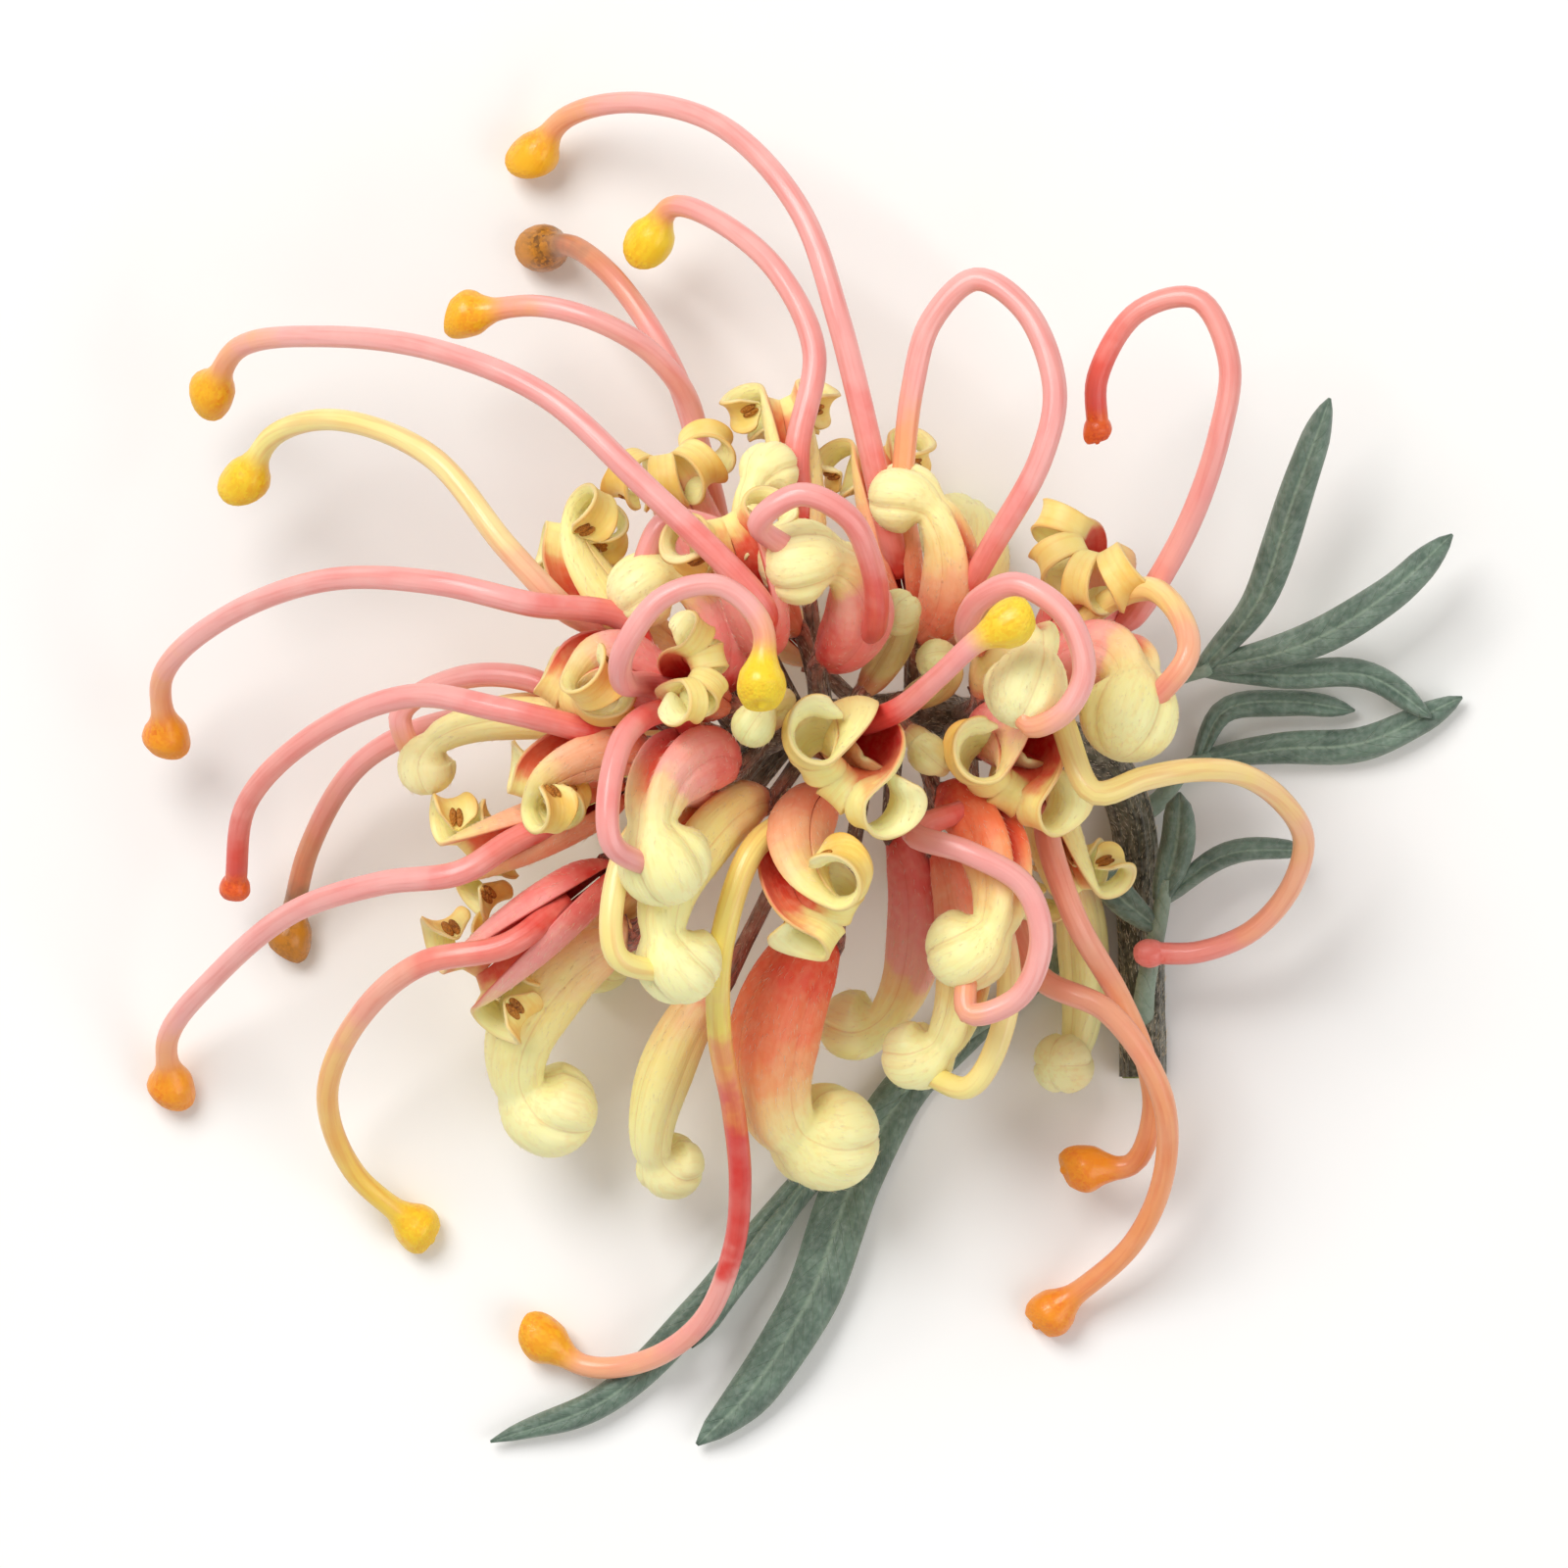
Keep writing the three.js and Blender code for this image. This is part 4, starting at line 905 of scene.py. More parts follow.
@dataclass
class Stem:
    """The cut woody stem, the rachis, the stalks of the florets and the small buds."""

    radii: Pairs = ((0, STEM_RADIUS), (0.3, 0.95 * STEM_RADIUS), (0.45, RACHIS_BASE_RADIUS), (1, RACHIS_TIP_RADIUS))
    sides: int = 32
    step: float = 0.5
    ridge: float = 0.035
    knot: float = 0.45
    tip_reach: float = 1.2
    stalk: Pairs = ((0, 0.84), (0.12, 0.68), (0.8, 0.6), (0.92, 0.74))
    cut: Pairs = ((0.5, 0.9), (-0.08, 0.9), (-0.13, 0.84), (-0.1, 0.62), (-0.12, 0.4), (-0.06, 0.16))
    silk: int = 4200
    stalk_silk: int = 120

    def build(self, finishes: Sequence[bpy.types.Material]) -> None:
        """Builds the piece with its finishes: bark, cut wood, stalk, bud and silk."""
        skin = Skin()
        route = Route([*STEM_ROUTE, *RACHIS_ROUTE])
        self._axis(skin, route)
        for floret in (*FLORETS, *BUDS):
            axis = FloretAxis(floret)
            onward = axis.frames(np.array([0.0]))[1][0]
            flare = 0.5 * TUBE_RADIUS * floret.size
            Rod(Route([axis.root, axis.foot - 0.3 * onward, axis.foot + 0.25 * onward]), (*self.stalk, (1, flare)),
                sides=12, step=0.45).add_to(skin, 2, 11 * floret.at, Silk(self.stalk_silk, 4, f"stalk {floret.name}"))
        for one in BUDS:
            ShutPetals(one, sides=32).add_to(skin, finish=3, silk_finish=4)
        skin.piece("stem_with_stalks", "stem_and_rachis", "stem", finishes)

    def _axis(self, skin: Skin, route: Route) -> None:
        """Adds the stem and the rachis, with ridged bark, knots at the stalks and the cut wood at the end."""
        end = route.length + self.tip_reach
        distances = np.linspace(0, end, round(end / self.step))
        tangents = route.tangents(distances)
        sides, ups = carried(tangents, np.array([1.0, 0, 0]))
        angles = corners_of(self.sides)
        share = np.clip(distances / route.length, 0, 1)
        fade = np.sqrt(np.clip(1 - (np.maximum(distances - route.length, 0) / (1.02 * self.tip_reach)) ** 2, 0, 1))
        radii = (profile(self.radii, share) * fade)[:, None]
        d = distances[:, None]
        ridges = (np.sin(5 * angles + 0.12 * d) + 0.7 * np.sin(9 * angles - 0.2 * d + 1.3)
                  + 0.5 * np.sin(3 * angles + 0.9 * d))
        grid = radii * (1 + self.ridge * ridges)
        start = route.length - RACHIS.length
        for floret in (*FLORETS, *BUDS):
            grid = grid + self.knot * np.exp(-((d - start - floret.at * RACHIS.length) / 0.9) ** 2) * radii * 0.3
        skin.shell(ringed(route.at(distances), sides, ups, grid, angles), unbent(distances, grid, angles),
                   along=share[:, None], silk=Silk(self.silk, 4, "stem"))
        on, wide = np.array(self.cut).T
        centres = route.at(on)
        ring = wide * STEM_RADIUS
        first = np.repeat([0], len(on))
        skin.shell(ringed(centres, sides[first], ups[first], ring, angles), unbent(on, ring, angles),
                   rim=wide[:, None], finish=1)


@dataclass
class Leaf:
    """A leaf cut into narrow lobes with rolled-down margins and a grooved midrib."""

    plan: LeafPlan
    widths: Pairs = ((0, 0.45), (0.12, 0.7), (0.5, 1), (0.84, 0.84), (0.95, 0.48), (1, 0.08))
    stalk: Pairs = ((0, 0.95), (0.2, 0.8), (0.5, 0.68), (1, 0.6))
    step: float = 0.8
    face_points: int = 15
    groove: float = 0.5
    wave: float = 0.22
    wave_length: float = 8.5
    twist: float = 9.0

    def build(self, finish: bpy.types.Material) -> None:
        """Builds the piece with its finish."""
        skin = Skin()
        Rod(Route([*self.plan.seat, *self.plan.stalk]), self.stalk, sides=16).add_to(skin)
        draw = random.Random(self.plan.name)
        for lobe in self.plan.lobes:
            self._blade(skin, lobe, draw)
        skin.piece(self.plan.name.replace("leaf", "blades"), self.plan.name, "leaf", (finish,))

    def _blade(self, skin: Skin, lobe: LeafLobe, draw: random.Random) -> None:
        """Adds one lobe's blade."""
        route = Route(lobe.route)
        distances = np.linspace(0, route.length, round(route.length / self.step) + 1)
        share = distances / route.length
        onward = route.tangents(distances)
        side = unit(np.cross(onward, (0, 0, 1)))
        turn = np.radians(self.twist * np.sin(share * math.pi * 1.6 + draw.uniform(0, 6)))[:, None]
        up = np.cross(side, onward)
        side, up = side * np.cos(turn) + up * np.sin(turn), up * np.cos(turn) - side * np.sin(turn)
        u = np.sin(np.linspace(-0.5, 0.5, self.face_points) * math.pi)
        thick = BLADE_THICKNESS / 2
        rolled = np.clip((np.abs(u) - 0.55) / 0.45, 0, 1) ** 2.2
        rib = np.exp(-(u / 0.15) ** 2)
        over = thick * (1 - 1.65 * rolled - self.groove * rib)
        under = thick * (-0.2 - 0.8 * np.abs(u) ** 3 - 0.45 * rib)
        both = np.concatenate([u, u[::-1]])
        height = np.concatenate([over, under[::-1]])
        width = np.maximum(profile(self.widths, share) * lobe.half, 0.1)[:, None]
        lift = self.wave * np.sin(2 * math.pi * distances / self.wave_length + draw.uniform(0, 6))[:, None]
        thin = (0.35 + 0.65 * np.clip(width / 0.8, 0, 1)) * (1 - 0.5 * ease(share, 0.9, 1)[:, None])
        tall = height * thin + lift * both * both * np.minimum(width, 1)
        rings = (route.at(distances)[:, None] + side[:, None] * (width * both)[..., None]
                 + up[:, None] * tall[..., None])
        inner = np.concatenate([np.zeros(len(u)), np.ones(len(u))])
        shape = rings.shape[:2]
        straight = np.stack([np.broadcast_to(distances[:, None] + draw.uniform(0, 50), shape), width * both,
                             np.broadcast_to(3 * inner, shape)], axis=-1)
        skin.shell(rings, straight, along=share[:, None], inner=np.broadcast_to(inner, shape),
                   rim=np.broadcast_to(np.abs(both), shape))


def linear(colour: str) -> tuple[float, float, float, float]:
    """Turns a colour as it is seen, such as #f0a8a0, into the light that the shaders work in."""
    seen = [int(colour[i:i + 2], 16) / 255 for i in (1, 3, 5)]
    light = [c / 12.92 if c <= 0.04045 else ((c + 0.055) / 1.055) ** 2.4 for c in seen]
    return (*light, 1.0)


class Wiring:
    """Wires a node tree by short calls. A socket, a number or a colour may feed any input."""

    def __init__(self, tree: bpy.types.NodeTree) -> None:
        """Works on a tree."""
        self.tree = tree

    def add(self, kind: str, feeds: dict[str | int, object] | None = None, **settings: object) -> bpy.types.Node:
        """Adds a node.

        Args:
            kind: The node's type.
            feeds: What each input takes, by its name or number.
            **settings: The node's own options.

        Returns:
            The node.
        """
        node = self.tree.nodes.new(kind)
        for name, value in settings.items():
            setattr(node, name, value)
        for key, value in (feeds or {}).items():
            if isinstance(value, bpy.types.NodeSocket):
                self.tree.links.new(value, node.inputs[key])
            else:
                node.inputs[key].default_value = value
        return node

    def mark(self, name: str) -> bpy.types.NodeSocket:
        """Reads a mark of the mesh as a number."""
        return self.add("ShaderNodeAttribute", attribute_name=name).outputs["Fac"]

    def straight(self) -> bpy.types.NodeSocket:
        """Reads the unbent place on the piece, in millimetres."""
        return self.add("ShaderNodeAttribute", attribute_name="straight").outputs["Vector"]

    def ramp(self, factor: bpy.types.NodeSocket, stops: Stops) -> bpy.types.NodeSocket:
        """Colours a factor by stops.

        Args:
            factor: What is coloured, from 0 to 1.
            stops: Places and the colours there.

        Returns:
            The colour.
        """
        node = self.add("ShaderNodeValToRGB", {"Fac": factor})
        band = node.color_ramp
        band.interpolation = "EASE"
        while len(band.elements) < len(stops):
            band.elements.new(1)
        for element, (place, colour) in zip(band.elements, stops):
            element.position = place
        for element, (place, colour) in zip(band.elements, stops):
            element.color = linear(colour)
        return node.outputs["Color"]

    def mix(self, factor: object, first: object, second: object, mode: str = "MIX") -> bpy.types.NodeSocket:
        """Mixes two colours.

        Args:
            factor: How much of the second shows.
            first: The first colour.
            second: The second colour.
            mode: How they mix.

        Returns:
            The mixed colour.
        """
        return self.add("ShaderNodeMix", {0: factor, 6: first, 7: second}, data_type="RGBA",
                        blend_type=mode).outputs[2]

    def math(self, operation: str, *values: object) -> bpy.types.NodeSocket:
        """Works out one sum on numbers."""
        return self.add("ShaderNodeMath", dict(enumerate(values)), operation=operation).outputs[0]

    def spread(self, value: object, low: float, high: float, start: float = 0.0,
               end: float = 1.0) -> bpy.types.NodeSocket:
        """Stretches the range from low to high to the range from start to end, and no further."""
        return self.add("ShaderNodeMapRange", {0: value, 1: low, 2: high, 3: start, 4: end}).outputs[0]

    def effect(self, group: bpy.types.NodeTree, feeds: dict[str, object]) -> bpy.types.Node:
        """Places a shared effect with its own values."""
        return self.add("ShaderNodeGroup", feeds, node_tree=group)


class Effects:
    """The shared effects, each a node group that is built once."""

    def __init__(self) -> None:
        """Builds the groups."""
        self.mottle = self._group("mottle", ("Scale",), ("Mask",), self._mottle)
        self.fibre = self._group("fibre", ("Across", "Along"), ("Mask",), self._fibre)
        self.down = self._group("down", ("Scale",), ("Height", "Frost"), self._down)
        self.grain = self._group("grain", ("Scale",), ("Height", "Tint"), self._grain)

    @staticmethod
    def _group(name: str, sizes: Sequence[str], results: Sequence[str], fill: object) -> bpy.types.NodeTree:
        """Builds one group.

        Args:
            name: The effect's name.
            sizes: The names of its numbers.
            results: The names of its outputs.
            fill: The function that wires its inside.

        Returns:
            The group.
        """
        tree = bpy.data.node_groups.new(name, "ShaderNodeTree")
        tree.interface.new_socket(name="Place", in_out="INPUT", socket_type="NodeSocketVector")
        for size in sizes:
            tree.interface.new_socket(name=size, in_out="INPUT", socket_type="NodeSocketFloat")
        for result in results:
            tree.interface.new_socket(name=result, in_out="OUTPUT", socket_type="NodeSocketFloat")
        wiring = Wiring(tree)
        given = wiring.add("NodeGroupInput").outputs
        wiring.add("NodeGroupOutput", fill(wiring, given))
        return tree

    @staticmethod
    def _mottle(wiring: Wiring, given: object) -> dict[str, object]:
        """Soft uneven patches."""
        noise = wiring.add("ShaderNodeTexNoise", {"Vector": given["Place"], "Scale": given["Scale"], "Detail": 3.0,
                                                  "Roughness": 0.55})
        return {"Mask": wiring.spread(noise.outputs["Fac"], 0.34, 0.66)}

    @staticmethod
    def _fibre(wiring: Wiring, given: object) -> dict[str, object]:
        """Fine lines that run along a piece."""
        scale = wiring.add("ShaderNodeCombineXYZ", {0: given["Along"], 1: given["Across"], 2: given["Across"]})
        place = wiring.add("ShaderNodeVectorMath", {0: given["Place"], 1: scale.outputs[0]}, operation="MULTIPLY")
        noise = wiring.add("ShaderNodeTexNoise", {"Vector": place.outputs[0], "Scale": 1.0, "Detail": 2.0,
                                                  "Roughness": 0.5})
        return {"Mask": wiring.spread(noise.outputs["Fac"], 0.36, 0.64)}

    @staticmethod
    def _down(wiring: Wiring, given: object) -> dict[str, object]:
        """Short felt: its height, and a frost where it lies thicker."""
        near = wiring.add("ShaderNodeTexNoise", {"Vector": given["Place"], "Scale": given["Scale"], "Detail": 4.0,
                                                 "Roughness": 0.7})
        coarse = wiring.math("MULTIPLY", given["Scale"], 0.22)
        far = wiring.add("ShaderNodeTexNoise", {"Vector": given["Place"], "Scale": coarse, "Detail": 2.0})
        return {"Height": near.outputs["Fac"], "Frost": wiring.spread(far.outputs["Fac"], 0.42, 0.7)}

    @staticmethod
    def _grain(wiring: Wiring, given: object) -> dict[str, object]:
        """Small round grains: their height, and a tint that differs from grain to grain."""
        cells = wiring.add("ShaderNodeTexVoronoi", {"Vector": given["Place"], "Scale": given["Scale"]})
        height = wiring.spread(cells.outputs["Distance"], 0.0, 0.7, 1.0, 0.0)
        tint = wiring.add("ShaderNodeSeparateColor", {0: cells.outputs["Color"]}).outputs[0]
        return {"Height": height, "Tint": tint}


@dataclass(frozen=True)
class Surface:
    """What every finish sets on its shader: plain numbers, each on its own socket."""

    sheen: float = 0.0
    subsurface: float = 0.0
    coat: float = 0.0
    relief: float = 0.4
    relief_depth: float = 0.0002
    depths: tuple[float, float, float] = (1.0, 0.45, 0.3)
    subsurface_scale: float = 0.0012

    def make(self, name: str, paint: object) -> bpy.types.Material:
        """Makes a material.

        Args:
            name: The material's name.
            paint: The function that wires its colour, roughness and height.

        Returns:
            The material.
        """
        material = bpy.data.materials.new(name)
        material.use_nodes = True
        material.node_tree.nodes.clear()
        wiring = Wiring(material.node_tree)
        colour, roughness, height = paint(wiring)
        bump = wiring.add("ShaderNodeBump", {"Height": height, "Strength": self.relief,
                                             "Distance": self.relief_depth})
        shader = wiring.add("ShaderNodeBsdfPrincipled", {
            "Base Color": colour, "Roughness": roughness, "Normal": bump.outputs["Normal"],
            "Sheen Weight": self.sheen, "Subsurface Weight": self.subsurface, "Coat Weight": self.coat,
            "Subsurface Radius": self.depths, "Subsurface Scale": self.subsurface_scale,
        })
        wiring.add("ShaderNodeOutputMaterial", {"Surface": shader.outputs["BSDF"]})
        return material


@dataclass(frozen=True)
class PetalFinish:
    """Petals: coloured from foot to tip, deep red in the throat, with fine veins and a silky skin."""

    name: str
    outside: Stops
    throat: Stops
    flush: str
    flush_share: float = 0.3
    surface: Surface = field(default=Surface(sheen=0.06, subsurface=0.12, relief=0.22))

    def make(self, effects: Effects) -> bpy.types.Material:
        """Makes the material."""
        return self.surface.make(self.name, lambda wiring: self._paint(wiring, effects))

    def _paint(self, wiring: Wiring, effects: Effects) -> tuple[object, object, object]:
        """Wires the colour, the roughness and the height."""
        place = wiring.straight()
        along = wiring.mark("along")
        patches = wiring.effect(effects.mottle, {"Place": place, "Scale": 0.32}).outputs["Mask"]
        veins = wiring.effect(effects.fibre, {"Place": place, "Across": 2.6, "Along": 0.16}).outputs["Mask"]
        down = wiring.effect(effects.down, {"Place": place, "Scale": 7.0})
        wander = wiring.math("ADD", along, wiring.spread(patches, 0, 1, -0.06, 0.06))
        outer = wiring.ramp(wander, self.outside)
        on_tube = wiring.spread(along, 0.5, 0.72, self.flush_share, 0)
        outer = wiring.mix(wiring.math("MULTIPLY", patches, on_tube), outer, linear(self.flush))
        inner = wiring.ramp(wander, self.throat)
        colour = wiring.mix(wiring.mark("inner"), outer, inner)
        colour = wiring.mix(wiring.spread(veins, 0.5, 1, 0, 0.18), colour, linear("#f8c79a"), "MULTIPLY")
        colour = wiring.mix(wiring.math("MULTIPLY", down.outputs["Frost"], 0.1), colour, linear("#fff6c8"), "SCREEN")
        # Darker margins: real browning on the edges of open petals, and painted shade in the seams between shut petals
        seam = wiring.spread(wiring.mark("rim"), 0.8, 1, 0, 0.25)
        colour = wiring.mix(seam, colour, linear("#e08a6e"), "MULTIPLY")
        roughness = wiring.spread(down.outputs["Frost"], 0, 1, 0.42, 0.62)
        height = wiring.math("ADD", wiring.math("MULTIPLY", veins, 0.5),
                             wiring.math("MULTIPLY", down.outputs["Height"], 0.5))
        return colour, roughness, height


@dataclass(frozen=True)
class StyleFinish:
    """A style and its pollen knob: smooth and slightly glossy, then granular where the pollen is."""

    name: str
    length: Stops
    pollen: tuple[str, str] = ("#f7b21c", "#f08a12")
    surface: Surface = field(default=Surface(sheen=0.04, subsurface=0.08, coat=0.12, relief=0.35))

    def make(self, effects: Effects) -> bpy.types.Material:
        """Makes the material."""
        return self.surface.make(self.name, lambda wiring: self._paint(wiring, effects))

    def _paint(self, wiring: Wiring, effects: Effects) -> tuple[object, object, object]:
        """Wires the colour, the roughness and the height."""
        place = wiring.straight()
        knob = wiring.mark("inner")
        patches = wiring.effect(effects.mottle, {"Place": place, "Scale": 0.28}).outputs["Mask"]
        lines = wiring.effect(effects.fibre, {"Place": place, "Across": 2.2, "Along": 0.12}).outputs["Mask"]
        grains = wiring.effect(effects.grain, {"Place": place, "Scale": 4.2})
        wander = wiring.math("ADD", wiring.mark("along"), wiring.spread(patches, 0, 1, -0.05, 0.05))
        colour = wiring.ramp(wander, self.length)
        colour = wiring.mix(wiring.spread(lines, 0.4, 1, 0, 0.28), colour, linear("#e2836f"), "MULTIPLY")
        colour = wiring.mix(wiring.math("MULTIPLY", patches, 0.1), colour, linear("#fff0dc"), "SCREEN")
        dust = wiring.mix(wiring.math("MULTIPLY", grains.outputs["Tint"], patches), linear(self.pollen[0]),
                          linear(self.pollen[1]))
        colour = wiring.mix(wiring.mark("rim"), colour, dust)
        roughness = wiring.spread(knob, 0, 1, 0.34, 0.75)
        smooth = wiring.math("MULTIPLY", lines, 0.35)
        height = wiring.add("ShaderNodeMix", {0: knob, 2: smooth, 3: grains.outputs["Height"]}).outputs[0]
        return colour, roughness, height


@dataclass(frozen=True)
class LeafFinish:
    """A leaf: grey-green and finely veined above, silvery felt below."""

    name: str = "grey_green_leaf"
    above: tuple[str, str] = ("#4c6252", "#6d8471")
    below: str = "#b9c4b4"
    rib: str = "#8fa38c"
    surface: Surface = field(default=Surface(sheen=0.15, coat=0.08, relief=0.6))

    def make(self, effects: Effects) -> bpy.types.Material:
        """Makes the material."""
        return self.surface.make(self.name, lambda wiring: self._paint(wiring, effects))

    def _paint(self, wiring: Wiring, effects: Effects) -> tuple[object, object, object]:
        """Wires the colour, the roughness and the height."""
        place = wiring.straight()
        rim = wiring.mark("rim")
        parts = wiring.add("ShaderNodeSeparateXYZ", {0: place}).outputs
        patches = wiring.effect(effects.mottle, {"Place": place, "Scale": 0.4}).outputs["Mask"]
        down = wiring.effect(effects.down, {"Place": place, "Scale": 9.0})
        fibres = wiring.effect(effects.fibre, {"Place": place, "Across": 3.4, "Along": 0.25}).outputs["Mask"]
        slant = wiring.math("SUBTRACT", parts[0], wiring.math("MULTIPLY", wiring.math("ABSOLUTE", parts[1]), 1.8))
        stripe = wiring.math("ABSOLUTE", wiring.math("SINE", wiring.math("MULTIPLY", slant, 2.2)))
        side_veins = wiring.spread(stripe, 0.0, 0.18, 1, 0)
        rib = wiring.spread(rim, 0.02, 0.13, 1, 0)
        colour = wiring.mix(patches, linear(self.above[0]), linear(self.above[1]))
        colour = wiring.mix(wiring.spread(fibres, 0.4, 1, 0, 0.35), colour, linear("#41584b"))
        colour = wiring.mix(wiring.math("MULTIPLY", side_veins, 0.3), colour, linear(self.rib))
        colour = wiring.mix(wiring.math("MULTIPLY", rib, 0.65), colour, linear(self.rib))
        colour = wiring.mix(wiring.spread(rim, 0.9, 1, 0, 0.3), colour, linear("#9aa58c"))
        colour = wiring.mix(wiring.math("MULTIPLY", wiring.mark("inner"), 0.85), colour, linear(self.below))
        colour = wiring.mix(wiring.math("MULTIPLY", down.outputs["Frost"], 0.12), colour, linear("#dfe6dc"), "SCREEN")
        roughness = wiring.spread(down.outputs["Frost"], 0, 1, 0.45, 0.68)
        height = wiring.math("SUBTRACT", wiring.math("MULTIPLY", down.outputs["Height"], 0.5),
                             wiring.math("MULTIPLY", side_veins, 0.6))
        return colour, roughness, height


@dataclass(frozen=True)
class BarkFinish:
    """Young bark or a downy stalk: two tones along its fibres, with pale down and specks."""

    name: str
    length: Stops
    shade: str
    down: float = 0.25
    across: float = 2.4
    surface: Surface = field(default=Surface(sheen=0.3, relief=0.8, relief_depth=0.0003))

    def make(self, effects: Effects) -> bpy.types.Material:
        """Makes the material."""
        return self.surface.make(self.name, lambda wiring: self._paint(wiring, effects))

    def _paint(self, wiring: Wiring, effects: Effects) -> tuple[object, object, object]:
        """Wires the colour, the roughness and the height."""
        place = wiring.straight()
        patches = wiring.effect(effects.mottle, {"Place": place, "Scale": 0.5}).outputs["Mask"]
        fibres = wiring.effect(effects.fibre, {"Place": place, "Across": self.across, "Along": 0.3}).outputs["Mask"]
        down = wiring.effect(effects.down, {"Place": place, "Scale": 8.0})
        specks = wiring.effect(effects.grain, {"Place": place, "Scale": 1.1})
        wander = wiring.math("ADD", wiring.mark("along"), wiring.spread(patches, 0, 1, -0.08, 0.08))
        colour = wiring.ramp(wander, self.length)
        colour = wiring.mix(wiring.spread(fibres, 0.35, 0.9, 0, 0.7), colour, linear(self.shade))
        pale = wiring.spread(specks.outputs["Height"], 0.82, 0.95, 0, 0.45)
        colour = wiring.mix(pale, colour, linear("#c9b893"))
        colour = wiring.mix(wiring.math("MULTIPLY", down.outputs["Frost"], self.down), colour, linear("#e8dfc8"))
        roughness = wiring.spread(fibres, 0, 1, 0.6, 0.85)
        height = wiring.math("ADD", fibres, wiring.math("MULTIPLY", down.outputs["Height"], 0.4))
        return colour, roughness, height


@dataclass(frozen=True)
class CutFinish:
    """The cut end of the stem: bark, green layer, pale wood and pith."""

    name: str = "cut_wood"
    rings: Stops = ((0, "#d9c79a"), (0.2, "#e6d9b0"), (0.28, "#cdbb84"), (0.75, "#e2d6a8"), (0.88, "#8d9a5c"),
                    (0.96, "#5b4c38"))
    surface: Surface = field(default=Surface(relief=0.5))

    def make(self, effects: Effects) -> bpy.types.Material:
        """Makes the material."""
        return self.surface.make(self.name, lambda wiring: self._paint(wiring, effects))

    def _paint(self, wiring: Wiring, effects: Effects) -> tuple[object, object, object]:
        """Wires the colour, the roughness and the height."""
        place = wiring.straight()
        patches = wiring.effect(effects.mottle, {"Place": place, "Scale": 2.5}).outputs["Mask"]
        pores = wiring.effect(effects.grain, {"Place": place, "Scale": 5.0})
        wander = wiring.math("ADD", wiring.mark("rim"), wiring.spread(patches, 0, 1, -0.04, 0.04))
        colour = wiring.ramp(wander, self.rings)
        dark = wiring.spread(pores.outputs["Height"], 0.7, 0.9, 0, 0.4)
        colour = wiring.mix(dark, colour, linear("#8a774c"))
        return colour, wiring.spread(patches, 0, 1, 0.65, 0.85), pores.outputs["Height"]


@dataclass(frozen=True)
class AntherFinish:
    """An anther: ochre with brown grains."""

    name: str = "ochre_anther"
    tints: tuple[str, str] = ("#c4812c", "#743c18")
    surface: Surface = field(default=Surface(relief=0.7))

    def make(self, effects: Effects) -> bpy.types.Material:
        """Makes the material."""
        return self.surface.make(self.name, lambda wiring: self._paint(wiring, effects))

    def _paint(self, wiring: Wiring, effects: Effects) -> tuple[object, object, object]:
        """Wires the colour, the roughness and the height."""
        place = wiring.straight()
        grains = wiring.effect(effects.grain, {"Place": place, "Scale": 5.5})
        patches = wiring.effect(effects.mottle, {"Place": place, "Scale": 1.4}).outputs["Mask"]
        tint = wiring.math("MULTIPLY", grains.outputs["Tint"], patches)
        colour = wiring.mix(tint, linear(self.tints[0]), linear(self.tints[1]))
        return colour, wiring.spread(patches, 0, 1, 0.6, 0.8), grains.outputs["Height"]


@dataclass(frozen=True)
class SilkFinish:
    """The silky hairs: pale, with a faint gold in places."""

    name: str = "pale_silk"
    tints: tuple[str, str] = ("#ffefdc", "#fae0ac")
    surface: Surface = field(default=Surface(sheen=0.3, relief=0.1))

    def make(self, effects: Effects) -> bpy.types.Material:
        """Makes the material."""
        return self.surface.make(self.name, lambda wiring: self._paint(wiring, effects))

    def _paint(self, wiring: Wiring, effects: Effects) -> tuple[object, object, object]:
        """Wires the colour, the roughness and the height."""
        patches = wiring.effect(effects.mottle, {"Place": wiring.straight(), "Scale": 0.6}).outputs["Mask"]
        colour = wiring.mix(patches, linear(self.tints[0]), linear(self.tints[1]))
        return colour, wiring.spread(patches, 0, 1, 0.35, 0.5), patches


@dataclass(frozen=True)
class FloorFinish:
    """A plain pale table with the faintest unevenness."""

    name: str = "pale_table"
    tints: tuple[str, str] = ("#f6f5f2", "#fbfaf8")
    surface: Surface = field(default=Surface(relief=0.05))

    def make(self, effects: Effects) -> bpy.types.Material:
        """Makes the material."""
        return self.surface.make(self.name, lambda wiring: self._paint(wiring, effects))

    def _paint(self, wiring: Wiring, effects: Effects) -> tuple[object, object, object]:
        """Wires the colour, the roughness and the height."""
        place = wiring.add("ShaderNodeTexCoord").outputs["Object"]
        patches = wiring.effect(effects.mottle, {"Place": place, "Scale": 9.0}).outputs["Mask"]
        colour = wiring.mix(patches, linear(self.tints[0]), linear(self.tints[1]))
        return colour, wiring.spread(patches, 0, 1, 0.7, 0.8), patches


